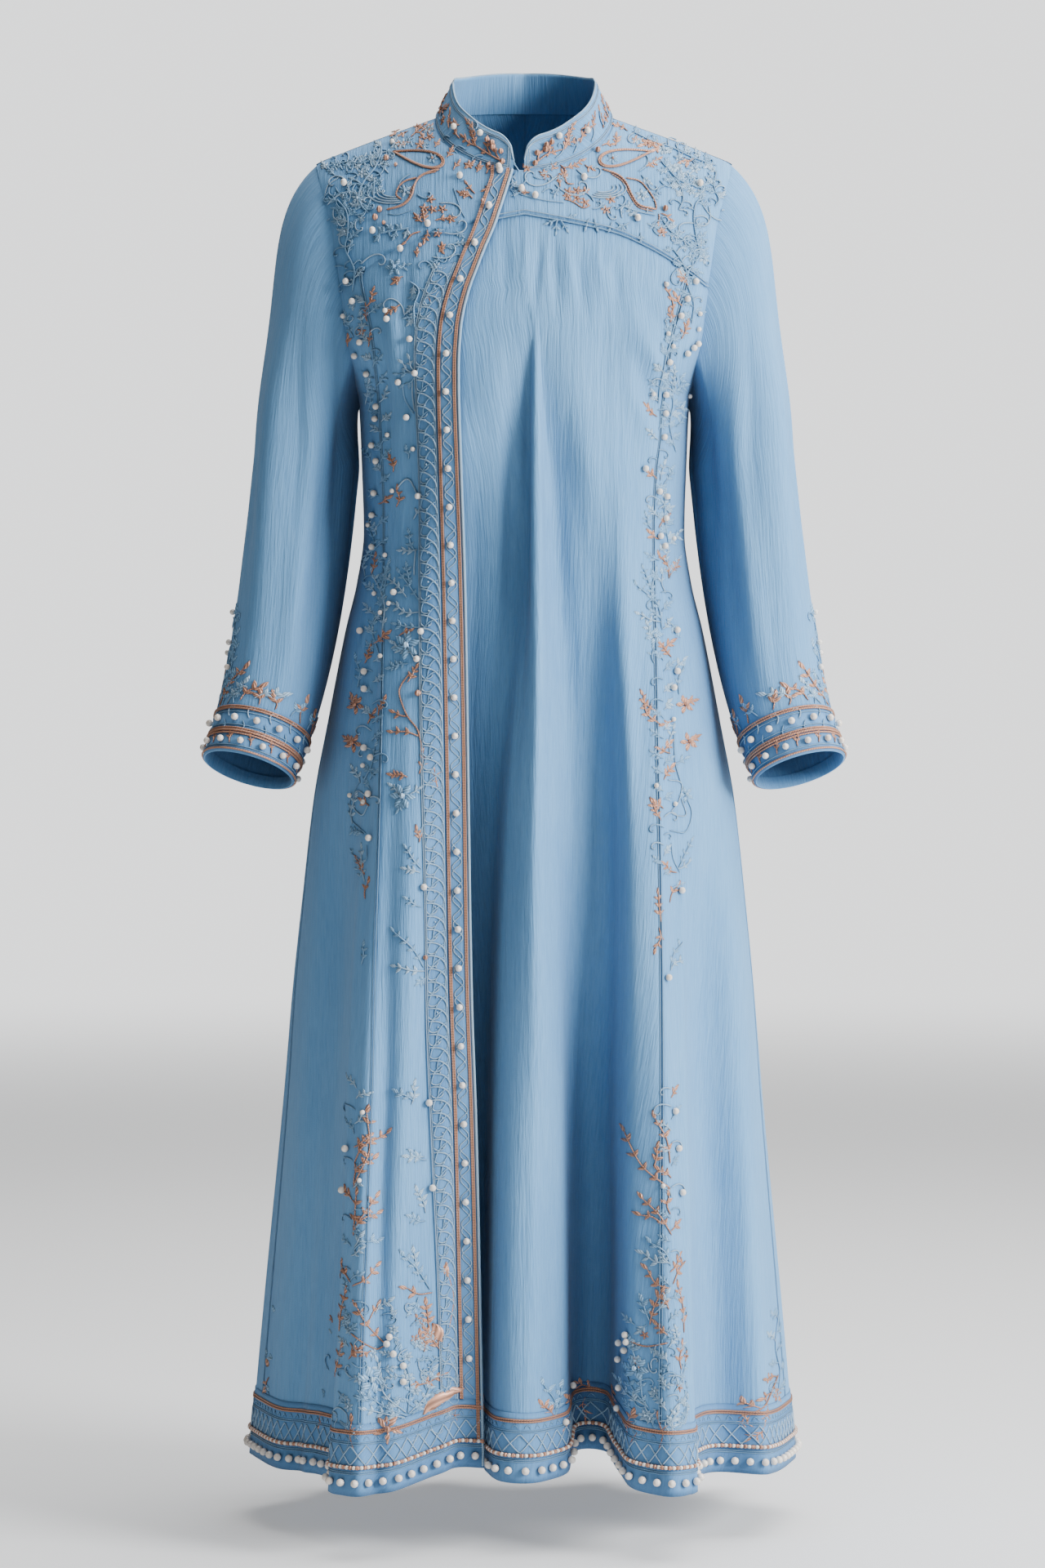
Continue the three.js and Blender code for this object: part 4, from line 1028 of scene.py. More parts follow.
def collar_at(share, outward=0.0):
    """Rows of collar points at shares of its height, moved out of its outer face."""
    from_tip = np.minimum(ring_along, ring_along[-1] - ring_along)
    cut = np.clip(1 - from_tip / COLLAR_CORNER, 0, 1)
    height = COLLAR_HEIGHT - COLLAR_CORNER * (1 - np.sqrt(1 - cut * cut))
    height = height - COLLAR_TIP_LOSS * smooth(1 - from_tip / COLLAR_TIP_REACH)
    lean = COLLAR_LEAN_CENTRE + (COLLAR_LEAN_SIDE - COLLAR_LEAN_CENTRE) * np.abs(ring_away[:, 0])
    share = np.asarray(share, float)[:, None] * height / COLLAR_HEIGHT
    points = ring - ring_away * (lean * share)[..., None] + ring_away * outward - (0, 0, TUCK_DEPTH)
    points[..., 2] += share * np.sqrt(COLLAR_HEIGHT**2 - lean**2)
    return points


def collar():
    """The collar's cloth: inner face, rounded top and outer face."""
    rows = np.linspace(1, 0, 16)
    outer = collar_at(rows)
    ripple = 0.35 * np.sin(ring_along / 3.1) * np.sin(ring_along / 11 + 1)
    outer = outer + ring_away * (ripple * np.sin(np.pi * rows[:, None]))[..., None]
    rounded = collar_at([1], -0.5)
    rounded[..., 2] += 0.5
    rounded_in = collar_at([1], -COLLAR_WALL + 0.5)
    rounded_in[..., 2] += 0.5
    inner = collar_at(rows[::-1], -COLLAR_WALL)
    wall = np.concatenate([inner, rounded_in, rounded, outer])
    cloth_piece("collar", wall, CREPE, "crepe", cloth_uv(wall, wall.shape[1] // 2))


collar()


# Cords, leaves, stitches and beads. Each kind is gathered in one mesh for each area of the dress.
TUBE_SIDES = 5
BALL_ROWS = 7
BALL_SIDES = 9
BALL_SINK = 0.15


class Batch:
    """Parts that become one mesh."""

    def __init__(self):
        self.points, self.faces, self.uv, self.count = [], [], [], 0

    def add(self, points, faces, uv):
        self.points.append(points)
        self.faces.append(faces + self.count)
        self.uv.append(uv)
        self.count += len(points)

    def make(self, name, material, slot):
        if self.points:
            points, faces, uv = (np.concatenate(parts) for parts in (self.points, self.faces, self.uv))
            add_mesh(name, points, faces, material, slot, uv)


def tube(batch, points, normals, radius, sink=0.35, taper=True):
    """A cord along points on the cloth. UV is the turn round it, and the length along it in millimetres."""
    rows = len(points)
    tangent = unit(np.gradient(points, axis=0))
    side = unit(np.cross(tangent, normals))
    size = np.full(rows, float(radius))
    if taper:
        size *= np.clip(np.minimum(np.arange(rows), np.arange(rows)[::-1]) / 1.5 + 0.35, 0, 1)
    turn = np.arange(TUBE_SIDES) / TUBE_SIDES * 2 * np.pi
    ring = normals[:, None] * np.cos(turn)[:, None] + side[:, None] * np.sin(turn)[:, None]
    centre = points + normals * (radius * (1 - sink))
    made = (centre[:, None] + ring * size[:, None, None]).reshape(-1, 3)
    uv = np.stack([np.tile(np.arange(TUBE_SIDES) / TUBE_SIDES, rows), np.repeat(lengths(points), TUBE_SIDES)], -1)
    batch.add(made, grid_faces(rows, TUBE_SIDES, closed=True)[:, ::-1], uv)


def sphere_template():
    """Points and faces of a ball with a radius of 1."""
    polar = np.linspace(0, np.pi, BALL_ROWS)[:, None]
    turn = np.arange(BALL_SIDES) / BALL_SIDES * 2 * np.pi
    flat = np.sin(polar)
    grid = np.stack([flat * np.cos(turn), flat * np.sin(turn), np.cos(polar) * np.ones(BALL_SIDES)], -1)
    return grid.reshape(-1, 3), grid_faces(BALL_ROWS, BALL_SIDES, closed=True)


BALL, BALL_FACES = sphere_template()


def balls(batch, points, normals, radius):
    """Round beads that sit on the cloth."""
    side = unit(np.cross(normals, np.array([0.3, 0.1, 1.0])))
    other = np.cross(normals, side)
    turned = np.einsum("vk,nkj->nvj", BALL, np.stack([side, other, normals], 1)) * radius
    made = turned + (points + normals * (radius * (1 - BALL_SINK)))[:, None]
    count = len(BALL)
    faces = (BALL_FACES[None] + (np.arange(len(points)) * count)[:, None, None]).reshape(-1, 4)
    uv = np.tile(BALL[:, :2] * 0.5 + 0.5, (len(points), 1)) + np.repeat(np.arange(len(points)), count)[:, None]
    batch.add(made.reshape(-1, 3), faces, uv)


def mixed(table, row, column):
    """Value of a table between its rows and columns."""
    r, c = row.astype(int), column.astype(int)
    v, u = row - r, column - c
    if table.ndim == 3:
        v, u = v[:, None], u[:, None]
    low = table[r, c] * (1 - u) + table[r, c + 1] * u
    return low * (1 - v) + (table[r + 1, c] * (1 - u) + table[r + 1, c + 1] * u) * v


class Ribbon:
    """Places at a distance along the cloth from a guide line."""

    def __init__(self, axis, low, high, reach):
        levels = np.linspace(HEM_LEVEL, RISE, RIBBON_ROWS)
        places = np.linspace(low, high, 900)
        points = cloth_at(places[None], levels[:, None])
        self.reach = reach
        distances = np.arange(-reach, reach + 1)
        rows = [np.interp(distances, row - np.interp(axis, places, row), places) for row in lengths(points, 1)]
        self.table = np.stack(rows)

    def __call__(self, distance, level):
        distance, level = np.broadcast_arrays(np.asarray(distance, float), np.asarray(level, float))
        column = np.clip(distance + self.reach, 0, self.table.shape[1] - 1.001)
        row = np.clip((level - HEM_LEVEL) / (RISE - HEM_LEVEL) * (RIBBON_ROWS - 1), 0, RIBBON_ROWS - 1.001)
        return mixed(self.table, row, column)


from_edge = Ribbon(EDGE, PRINCESS_RIGHT - 1, EDGE, 90)
HEM_BAND_LEVEL = -964.0
HEM_START = 3.0
HEM_COLUMNS = 860
HEM_ROWS = 12
LATTICE_UP = 35.0
CORD_STEP = 2.4
EDGE_STEP = 2.2
BAND_LIFT = 0.9


def neck_level(distance):
    """Level of the neckline at distances in from the free front edge."""
    distance = np.asarray(distance, float)

    def below(level):
        point = cloth_at(from_edge(-distance, level), level)
        return point[..., 2] < neck_z(point[..., 0], True)

    return bisect(below, np.full(distance.shape, 120.0), np.full(distance.shape, RISE))


def edge_path(distance, bottom=HEM_BAND_LEVEL, top=None):
    """Points and normals down the front at a distance in from its free edge."""
    top = float(neck_level(np.array([distance]))[0]) - 1.5 if top is None else top
    level = np.linspace(top, bottom, int((top - bottom) / EDGE_STEP))
    return surface(from_edge(-distance, level), level)


def raised(path, lift):
    points, normals = path
    return points + normals * lift, normals


def on_band(distance, level):
    """Points and normals on the front bands, at distances in from the free edge."""
    return raised(surface(from_edge(-distance, level), level), BAND_LIFT)


def side_by_side(batch, path, radius, spread):
    """Two cords laid side by side along a path."""
    points, normals = path
    side = unit(np.cross(unit(np.gradient(points, axis=0)), normals))
    for way in (-1, 1):
        tube(batch, points + side * spread * way, normals, radius, taper=False)


def hem_path(up):
    """Points and normals on the hem band at a height above its edge."""
    places = np.linspace(HEM_START, EDGE, 2400)
    along = lengths(cloth_at(places, HEM_LEVEL + up))
    even = np.interp(np.linspace(0, along[-1], int(along[-1] / CORD_STEP)), along, places)
    return raised(surface(even, HEM_LEVEL + up), BAND_LIFT)


def spaced(path, pitch, start=None):
    """Points and normals at an even pitch along a path."""
    points, normals = path
    along = lengths(points)
    at = np.arange(pitch / 2 if start is None else start, along[-1], pitch)
    return sample(at, along, points), unit(sample(at, along, normals))


def band_sheet(name, points, normals):
    """A band laid on the cloth, its edges turned down onto it."""
    pads = ((1, 1), (1, 1), (0, 0))
    height = np.pad(np.full(points.shape[:2], BAND_LIFT), 1, constant_values=0.1)[..., None]
    wide = np.pad(points, pads, mode="edge") + np.pad(normals, pads, mode="edge") * height
    cloth_piece(name, wide, BAND, "band", cloth_uv(wide, 0))


def thread(name, base, roughness, pitch, depth, dark, metallic=0.0):
    """Twisted thread: slanting strands round the cord, with painted shade darkening the grooves between them. UV is the
    turn, and the length in millimetres.
    """
    s = Shader(name, base, roughness, Metallic=metallic)
    parts = s.node("SeparateXYZ", Vector=s.node("UVMap", uv_map="cloth").outputs[0])
    turn, along = parts.outputs[0], parts.outputs[1]
    phase = s.math("ADD", s.math("MULTIPLY", along, 2 * math.pi / pitch), s.math("MULTIPLY", turn, 4 * math.pi))
    strand = s.math("ADD", s.math("MULTIPLY", s.math("SINE", phase, 0.0), 0.5), 0.5)
    s.bump(strand, 0.8, depth)
    # Painted shade: the colour darkens by the factor dark in the grooves between the strands
    painted_groove_shade = tuple(v * dark for v in base[:3]) + (1.0,)
    s.plug(s.ramp(strand, [(0.0, painted_groove_shade), (0.75, base)]), s.main.inputs["Base Color"])
    return s.material


def pearl_material():
    """Pearl with soft patches of colour."""
    s = Shader("pearl", colour(0.9, 0.82, 0.72), 0.25, Coat_Weight=0.6, Coat_Roughness=0.08, Sheen_Weight=0.2)
    where = s.node("NewGeometry").outputs["Position"]
    patch = s.noise(where, (1, 1, 1), size=160, detail=2)
    tint = s.ramp(
        patch, [(0.35, colour(0.92, 0.8, 0.68)), (0.55, colour(0.94, 0.88, 0.8)), (0.75, colour(0.95, 0.84, 0.76))],
    )
    s.plug(tint, s.main.inputs["Base Color"])
    s.bump(s.noise(where, (1, 1, 1), size=900, detail=2), 0.12, 0.0003)
    return s.material


COPPER = thread("copper_thread", colour(0.74, 0.38, 0.25), 0.4, 2.4, 0.0005, metallic=0.25, dark=0.42)
BLUE = thread("blue_thread", colour(0.29, 0.55, 0.83), 0.3, 1.6, 0.0004, dark=0.45)
PALE = thread("pale_thread", colour(0.47, 0.7, 0.92), 0.3, 1.6, 0.0004, dark=0.45)
PEARL = pearl_material()

# Front edge: piping, placket and trellis border
PLACKET_NEAR, PLACKET_FAR = 2.5, 21.5
PLACKET_MIDDLE = 12.0
PEARL_PITCH = 35.0
TRELLIS_NEAR, TRELLIS_FAR = 22.2, 42.0
TRELLIS_TOP = YOKE_TOP_LEVEL + 12
ARC_PITCH = 12.0
BAND_COLUMNS = 7


def front_band(name, near, far, top=None):
    """A band down the front, between two distances from the free edge."""
    distance = np.linspace(far, near, BAND_COLUMNS)
    tops = neck_level(distance) - 0.5 if top is None else np.full(BAND_COLUMNS, top)
    level = tops + (HEM_BAND_LEVEL - tops) * np.linspace(0, 1, 260)[:, None]
    band_sheet(name, *surface(from_edge(-distance, level), level))


front_band("placket_band", PLACKET_NEAR, PLACKET_FAR)
front_band("trellis_border", TRELLIS_NEAR, TRELLIS_FAR, top=TRELLIS_TOP)

copper, blue, pale, beads, glints = Batch(), Batch(), Batch(), Batch(), Batch()
tube(pale, *edge_path(0.9, bottom=HEM_LEVEL + 2), 1.3, sink=0.2, taper=False)
for distance, bottom in ((4.6, HEM_LEVEL + 25), (19.4, HEM_BAND_LEVEL)):
    side_by_side(copper, raised(edge_path(distance, bottom=bottom), BAND_LIFT), 0.85, 0.8)
for distance in (24.0, 42.2):
    side_by_side(pale, raised(edge_path(distance, top=TRELLIS_TOP), 0.6), 0.5, 0.8)
placket_middle = raised(edge_path(PLACKET_MIDDLE, bottom=HEM_BAND_LEVEL + 30), BAND_LIFT)
balls(beads, *spaced(placket_middle, PEARL_PITCH, 4.0), 3.2)

# Crossed cords between the pearls, and the arcs of the trellis
placket_top = float(neck_level(np.array([PLACKET_MIDDLE]))[0])
for start in (0.0, 0.5):
    level = np.arange(placket_top - 8, HEM_BAND_LEVEL + 4, -0.9)
    phase = (level / PEARL_PITCH + start) * 2 * np.pi
    distance = PLACKET_MIDDLE + 4.2 * np.sin(phase * 1.5)
    points, normals = on_band(distance, level)
    tube(pale, points, normals, 0.55, taper=False)
arc_turn = np.linspace(0, np.pi / 2, 9)
for number, start in enumerate(np.arange(YOKE_TOP_LEVEL + 6, HEM_BAND_LEVEL + 16, -ARC_PITCH)):
    level = start - 15 * (1 - np.cos(arc_turn))
    path = on_band(42 - 18.5 * np.sin(arc_turn), level)
    tube(pale, *path, 0.8)
    level = start - 4 - 17 * (1 - np.cos(arc_turn))
    distance = 23.5 + (12 + 5 * (number % 2)) * np.sin(arc_turn)
    tube(blue, *on_band(distance, level), 0.7)
    level = start - 7 - 4 * np.sin(arc_turn * 2)
    distance = 36 - 5 * np.cos(arc_turn * 2)
    tube(pale, *on_band(distance, level), 0.6)
balls(glints, *spaced(raised(edge_path(33.2, top=YOKE_TOP_LEVEL + 8), BAND_LIFT), 13.5), 0.9)
copper.make("front_edge_copper", COPPER, "copper_thread")
blue.make("front_edge_cords", BLUE, "blue_thread")
pale.make("front_edge_piping", PALE, "crepe")
beads.make("placket_pearls", PEARL, "pearl")
glints.make("trellis_beads", PALE, "blue_thread")

# Hem band
places = np.linspace(0, EDGE, HEM_COLUMNS)
points, normals = surface(places[None], np.linspace(HEM_BAND_LEVEL, HEM_LEVEL + 0.5, HEM_ROWS)[:, None])
band_sheet("hem_band", points, normals)
copper, blue, pale, beads, glints = Batch(), Batch(), Batch(), Batch(), Batch()
side_by_side(copper, hem_path(55), 0.85, 1.0)
side_by_side(copper, hem_path(24.5), 0.6, 0.9)
side_by_side(blue, hem_path(19.5), 0.5, 0.8)
side_by_side(blue, hem_path(45.5), 0.5, 0.8)
balls(beads, *spaced(hem_path(11.0), 14.0), 3.6)
# Pale pearl balls between the copper beads stand in for the glints on them: painted highlights
balls(glints, *spaced(hem_path(24.5), 7.2), 1.9)
balls(copper, *spaced(hem_path(24.5), 7.2, 7.2), 2.0)
places = np.linspace(HEM_START, EDGE, 2400)
length = lengths(cloth_at(places, HEM_LEVEL + LATTICE_UP))
for start in (0.0, 0.5):
    at = np.arange(0, length[-1], 1.5)
    zigzag = LATTICE_UP + 8.6 * (2 * np.abs(2 * ((at / 26.0 + start) % 1.0) - 1) - 1)
    path = surface(np.interp(at, length, places), HEM_LEVEL + zigzag)
    tube(pale, *raised(path, BAND_LIFT), 0.7, taper=False)
for at in np.arange(4, length[-1], 9.0):
    x = np.linspace(0, 1, 5)
    place = np.interp(at + 5.0 * x, length, places)
    path = surface(place, HEM_LEVEL + 48.0 + 3.4 * np.sin(np.pi * x))
    tube(blue, *raised(path, BAND_LIFT), 0.5)
copper.make("hem_copper", COPPER, "copper_thread")
blue.make("hem_cords", BLUE, "blue_thread")
pale.make("hem_lattice", PALE, "blue_thread")
beads.make("hem_pearls", PEARL, "pearl")
glints.make("hem_painted_glints", PEARL, "pearl")


# Embroidery, drawn flat as x and z, and then laid on the cloth
def through(points):
    """Points at an even step on a smooth line through the given ones."""
    points = np.asarray(points, float)
    ends = np.concatenate([[2 * points[0] - points[1]], points, [2 * points[-1] - points[-2]]])
    s = np.linspace(0, 1, 9)[:-1, None]
    parts = []
    for p0, p1, p2, p3 in zip(ends, ends[1:], ends[2:], ends[3:]):
        a, b = 2 * p0 - 5 * p1 + 4 * p2 - p3, -p0 + 3 * p1 - 3 * p2 + p3
        parts.append(0.5 * (2 * p1 + (p2 - p0) * s + a * s**2 + b * s**3))
    line = np.concatenate([*parts, points[-1:]])
    along = lengths(line)
    return sample(np.linspace(0, along[-1], max(4, round(along[-1] / DRAWN_STEP) + 1)), along, line)


def heading(angle):
    """Direction of an angle in a flat drawing."""
    return np.array([math.cos(math.radians(angle)), math.sin(math.radians(angle))])


LEAF_ROWS = 5
DRAWN_STEP = 2.1
PLACE_TOLERANCE = 5.0
# Drawn heights are those of the raised shoulders, so this many times the lift comes off them
LIFT_TIMES = 1.2
TINTS = {
    "copper": (COPPER, "copper_thread"),
    "blue": (BLUE, "blue_thread"),
    "pale": (PALE, "blue_thread"),
    "pearl": (PEARL, "pearl"),
}


class Layout:
    """Embroidery for one area, with its own random draws."""

    def __init__(self, seed):
        self.rng = np.random.default_rng(seed)
        self.cords, self.leaves, self.beads = [], [], []

    def cord(self, tint, points, radius):
        self.cords.append((tint, through(points), radius))

    def leaf(self, tint, base, angle, length, width, bend=0.0):
        t = np.linspace(0, 1, LEAF_ROWS)
        forward, side = heading(angle), heading(angle + 90)
        middle = base + forward * (length * t)[:, None] + side * (bend * np.sin(np.pi * t))[:, None]
        wide = (width / 2 * (np.sin(np.pi * t**0.8) ** 0.75 + 0.08))[:, None] * side
        self.leaves.append((tint, np.stack([middle - wide, middle, middle + wide], 1), width))

    def bead(self, tint, at, radius):
        self.beads.append((tint, np.asarray(at, float), radius))

    def twig(self, tint, base, angle, length, leaf_tint=None, *, pairs, size=5.0, tip=None):
        """A curved stem with pairs of leaves and one leaf, or a bead, at its tip."""
        leaf_tint = leaf_tint or tint
        bow = self.rng.uniform(-0.18, 0.18) * length
        side = heading(angle + 90)
        base = np.asarray(base, float)
        end = base + heading(angle) * length
        middle = (base + end) / 2 + side * bow
        self.cord(tint, [base, middle, end], 0.7)
        for n in range(pairs):
            share = (n + 1) / (pairs + 0.6)
            at = base + (end - base) * share + side * bow * math.sin(math.pi * share)
            for way in (-1, 1):
                turn = angle + way * self.rng.uniform(38, 58)
                grown = size * self.rng.uniform(0.75, 1.1)
                self.leaf(leaf_tint, at, turn, grown * 1.15, grown * 0.5, way * -0.5)
        if tip:
            self.bead(tip, end + heading(angle) * 2.2, 2.3 if tip == "pearl" else 1.4)
        else:
            self.leaf(leaf_tint, end, angle, size * 1.3, size * 0.55)

    def curl(self, tint, base, angle, size, way=1):
        """A tendril that rolls up at its end."""
        turn = np.linspace(0, 1, 12)
        bearing = np.radians(angle) + way * (0.3 + 5.2 * turn**1.6)
        step = size * (1 - 0.72 * turn)
        line = np.stack([np.cos(bearing), np.sin(bearing)], -1) * step[:, None] * 0.42
        self.cord(tint, np.asarray(base) + np.concatenate([[[0, 0]], line]).cumsum(0), 0.68)

    def fan(self, tint, centre, reach, first, last):
        """Arcs inside one another."""
        turn = np.radians(np.linspace(first, last, 7))
        for share in (1, 0.82, 0.64, 0.46):
            arc = np.stack([np.cos(turn), 0.5 * np.sin(turn)], -1) * reach * share
            self.cord(tint, np.asarray(centre) + arc, 0.65)

    def flower(self, tint, centre, size, petals, heart):
        first = self.rng.uniform(0, 360)
        for n in range(petals):
            turn = first + n * 360 / petals
            self.leaf(tint, centre + heading(turn) * size * 0.2, turn, size * 0.9, size * 0.5)
        self.bead(heart, centre, size * 0.24)

    def teardrop(self, tint, tip, end, width, radius):
        """A paisley drop: an outline of cord from its tip round its full end."""
        tip, end = np.asarray(tip, float), np.asarray(end, float)
        forward = (end - tip) / np.linalg.norm(end - tip)
        side = np.array([-forward[1], forward[0]])
        length = np.linalg.norm(end - tip)
        t = np.linspace(0, 2 * np.pi, 25)
        along = (1 - np.cos(t)) / 2 * length
        across = np.sin(t) * np.sin(t / 2) ** 1.3 * width / 1.3
        for spread in (0.0, 1.5):
            shrink = 1 - spread / width
            line = tip + forward * (spread + along * (1 - 2.2 * spread / length))[:, None]
            self.cord(tint, line + side * (across * shrink)[:, None], radius)

    def vine(self, points, tint="blue", *, spacing, reach, copper, pearls, curls=0.3, stem=True):
        """A stem with twigs, curls and flowers on both sides by turns."""
        line = through(points)
        if stem:
            self.cord(tint, points, 0.8)
        along = lengths(line)
        way = 1
        at = spacing * 0.5
        while at < along[-1]:
            back, base, ahead = sample(np.array([at - 2, at, at + 2]), along, line)
            angle = math.degrees(math.atan2(*(back - ahead)[::-1])) + way * self.rng.uniform(35, 65)
            length = reach * self.rng.uniform(0.55, 1.1)
            draw = self.rng.random()
            if draw < copper:
                self.twig("copper", base, angle, length, pairs=1 + int(length > 11), size=6.0)
            elif draw < copper + curls:
                self.curl(tint if self.rng.random() < 0.6 else "pale", base, angle, length * 0.62, way)
            else:
                tip = "pearl" if self.rng.random() < pearls else None
                self.twig("pale" if draw > 0.8 else tint, base, angle, length * 0.8, pairs=2, size=4.6, tip=tip)
            way = -way
            at += spacing * self.rng.uniform(0.7, 1.3)

    def scatter(self, corners, pitch, copper, pearls, keep_off=()):
        """Small motifs spread over an area with the given corners."""
        corners = np.asarray(corners, float)
        low, high = corners.min(0), corners.max(0)
        nexts = np.roll(corners, -1, 0)
        for x in np.arange(low[0], high[0], pitch):
            for z in np.arange(low[1], high[1], pitch):
                at = np.array([x, z]) + self.rng.uniform(-0.42, 0.42, 2) * pitch
                angle, draw, size = self.rng.uniform(0, 360), self.rng.random(), self.rng.uniform(0.8, 1.25)
                crossing = (corners[:, 1] > at[1]) != (nexts[:, 1] > at[1])
                drop = np.where(crossing, nexts[:, 1] - corners[:, 1], 1)
                cut = corners[:, 0] + (at[1] - corners[:, 1]) / drop * (nexts[:, 0] - corners[:, 0])
                inside = (crossing & (at[0] < cut)).sum() % 2 == 1
                near = any(np.hypot(*(at - spot[:2])) < spot[2] for spot in keep_off)
                if not inside or near:
                    continue
                if draw < copper:
                    if draw < copper * 0.4:
                        self.flower("copper", at, 4.0 * size, 5, "copper")
                    else:
                        self.twig("copper", at, angle, 6 * size, pairs=1, size=4.6)
                elif draw < copper + pearls:
                    self.bead("pearl", at, 2.9)
                elif draw < 0.55:
                    self.curl("blue" if draw < 0.4 else "pale", at, angle, 6.0 * size, 1 if angle > 180 else -1)
                elif draw < 0.72:
                    self.flower("pale", at, 4.4 * size, 6, "pale")
                else:
                    self.twig("blue", at, angle, 8 * size, "pale" if draw > 0.86 else "blue", pairs=2, size=4.2)

    def lay(self, name, place_on, lift=0.0):
        """Lays all that is drawn on the cloth, and makes a mesh of each tint."""
        flats = [c[1] for c in self.cords] + [v[1].reshape(
            -1, 2,
        ) for v in self.leaves] + [b[1][None] for b in self.beads]
        ends = np.cumsum([len(f) for f in flats])
        everything = np.concatenate(flats)
        points, normals, error = place_on(everything[:, 0], everything[:, 1])
        points = points + normals * lift
        batches = {tint: Batch() for tint in TINTS}
        groups = [(e - len(f), e) for e, f in zip(ends, flats)]
        items = self.cords + self.leaves + self.beads
        for (first, last), (tint, _, size), number in zip(groups, items, range(len(items))):
            if error[first:last].max() > PLACE_TOLERANCE:
                continue
            p, n = points[first:last], normals[first:last]
            if number < len(self.cords):
                tube(batches[tint], p, n, size, sink=0.1)
            elif number < len(self.cords) + len(self.leaves):
                height = np.tile([0.15, size * 0.3 + 0.5, 0.15], LEAF_ROWS)[:, None]
                uv = np.stack([np.tile([0, 0.5, 1], LEAF_ROWS), np.repeat(np.arange(LEAF_ROWS) * 1.1, 3)], -1)
                batches[tint].add(p + n * height, grid_faces(LEAF_ROWS, 3), uv)
            else:
                balls(batches[tint], p, n, size)
        for tint, batch in batches.items():
            batch.make(f"{name}_{tint}", *TINTS[tint])


def on_front(low, high):
    """Where flat drawings come to lie between two places of the front, and how far off they are."""

    def place_on(x, z):
        z = z - LIFT_TIMES * lift_at(z)
        place, level = find(x, z, low, high)
        points, normals = surface(place, level)
        return points, normals, np.hypot(points[:, 0] - x, points[:, 2] - z)

    return place_on


# Yokes and fronts: the layout follows the dress, in its own x and z
right = Layout(11)
right.teardrop("copper", (-123, -18), (-74, -34), 14.5, 0.85)
for points, radius in (
    ([(-78, -40), (-88, -42), (-97, -47), (-101, -55), (-103, -64), (-107, -71), (-114, -76), (-127, -79)], 0.95),
    ([(-81, -42), (-92, -44), (-99, -50), (-104, -59), (-106, -67), (-111, -73), (-118, -77)], 0.6),
    ([(-99, -47), (-110, -50), (-116, -56), (-118, -64), (-113, -69)], 0.8),
):
    right.cord("copper", points, radius)
for tint, centre, size, petals, heart in (
    ("blue", (-85, -28), 5, 6, "copper"),
    ("pale", (-110, -60), 6, 5, "blue"),
):
    right.flower(tint, centre, size, petals, heart)
right.fan("pale", (-120, -60), 25, 150, 285)
for spot in ((-133, -79), (-137, -87), (-128, -26)):
    right.bead("copper", spot, 2.7)
for spot in ((-129, -93), (-119, -33), (-33, -37), (-38, -74), (-95, -118)):
    right.bead("copper", spot, 1.8)
for spot in ((-167, -49), (-139, -101), (-88, -97), (-113, -121), (-163, -148), (-157, -167), (-59, -48), (-23, -40)):
    right.bead("pearl", spot, 3.1)
for spot in ((-126, -179), (-124, -187), (-123, -9), (-166, -179)):
    right.bead("pearl", spot, 2.5)
for base, angle, length, pairs in (
    ((-106, -10), 178, 11, 2), ((-106, -4), 48, 17, 2), ((-92, -8), 120, 5, 1), ((-96, -16), 100, 4, 1),
    ((-83, -17), 60, 4, 1), ((-72, -28), 60, 8, 2), ((-65, -41), 60, 7, 1), ((-55, -40), 40, 7, 2),
    ((-44, -44), 70, 6, 2), ((-45, -66), 125, 12, 1), ((-47, -71), 150, 12, 2), ((-93, -94), 130, 8, 2),
    ((-92, -94), 95, 9, 2), ((-82, -93), 8, 15, 2), ((-89, -102), 258, 10, 2), ((-95, -104), 215, 16, 0),
    ((-98, -130), 90, 5, 1), ((-74, -124), 100, 4, 1), ((-111, -147), 215, 8, 2), ((-145, -174), 68, 15, 2),
    ((-144, -187), 95, 12, 2), ((-113, -173), 215, 12, 2), ((-27, -55), 215, 10, 1), ((-35, -46), 75, 8, 1),
):
    right.twig("copper", base, angle, length, pairs=pairs, size=4.6)
for spot in ((-86, -70), (-92, -79), (-84, -81), (-75, -81), (-67, -92), (-51, -36), (-55, -66), (-88, -5)):
    right.flower("copper", spot, 4.4, 5, "copper")
for points, spacing, reach in (
    ([(-133, -10), (-134, -22), (-139, -35), (-148, -47), (-153, -60), (-151, -72), (-144, -81)], 5.5, 11),
    ([(-135, -23), (-150, -28), (-167, -26), (-182, -28), (-185, -32)], 5, 9),
    (
        [(-174, -64), (-166, -75), (-163, -85), (-163, -102), (-165, -116), (-159, -130), (-156, -139), (-158, -158)],
        6.5, 12,
    ),
    ([(-139, -44), (-139, -56), (-139, -67)], 5, 8),
):
    right.vine(points, spacing=spacing, reach=reach, copper=0.0, pearls=0)
for base, angle, size, way in (
    ((-170, -72), 100, 20, 1), ((-183, -69), 60, 16, -1), ((-162, -61), 80, 14, 1), ((-180, -83), 200, 10, 1),
    ((-168, -94), 230, 11, 1), ((-154, -88), 20, 9, 1), ((-105, -43), 190, 9, 1), ((-99, -64), 300, 7, 1),
    ((-78, -75), 20, 12, -1), ((-167, -133), 150, 9, 1), ((-150, -133), 60, 12, -1), ((-84, -130), 330, 12, 1),
    ((-74, -106), 330, 12, 1), ((-82, -149), 80, 10, 1), ((-109, -184), 90, 12, 1),
):
    right.curl("pale" if size > 10 else "blue", base, angle, size, way)
for tint, points, radius in (
    ("blue", [(-126, -83), (-118, -85), (-109, -83), (-101, -80)], 0.45),
    ("pale", [(-187, -64), (-185, -56), (-182, -48), (-172, -41)], 0.55),
    ("pale", [(-164, -55), (-161, -61), (-163, -68)], 0.55),
    ("blue", [(-65, -59), (-61, -72), (-57, -85), (-54, -91)], 0.5),
):
    right.cord(tint, points, radius)
right.vine([(-100, -196), (-100, -175), (-96, -161), (-105, -152)], spacing=6, reach=9, copper=0, pearls=0)
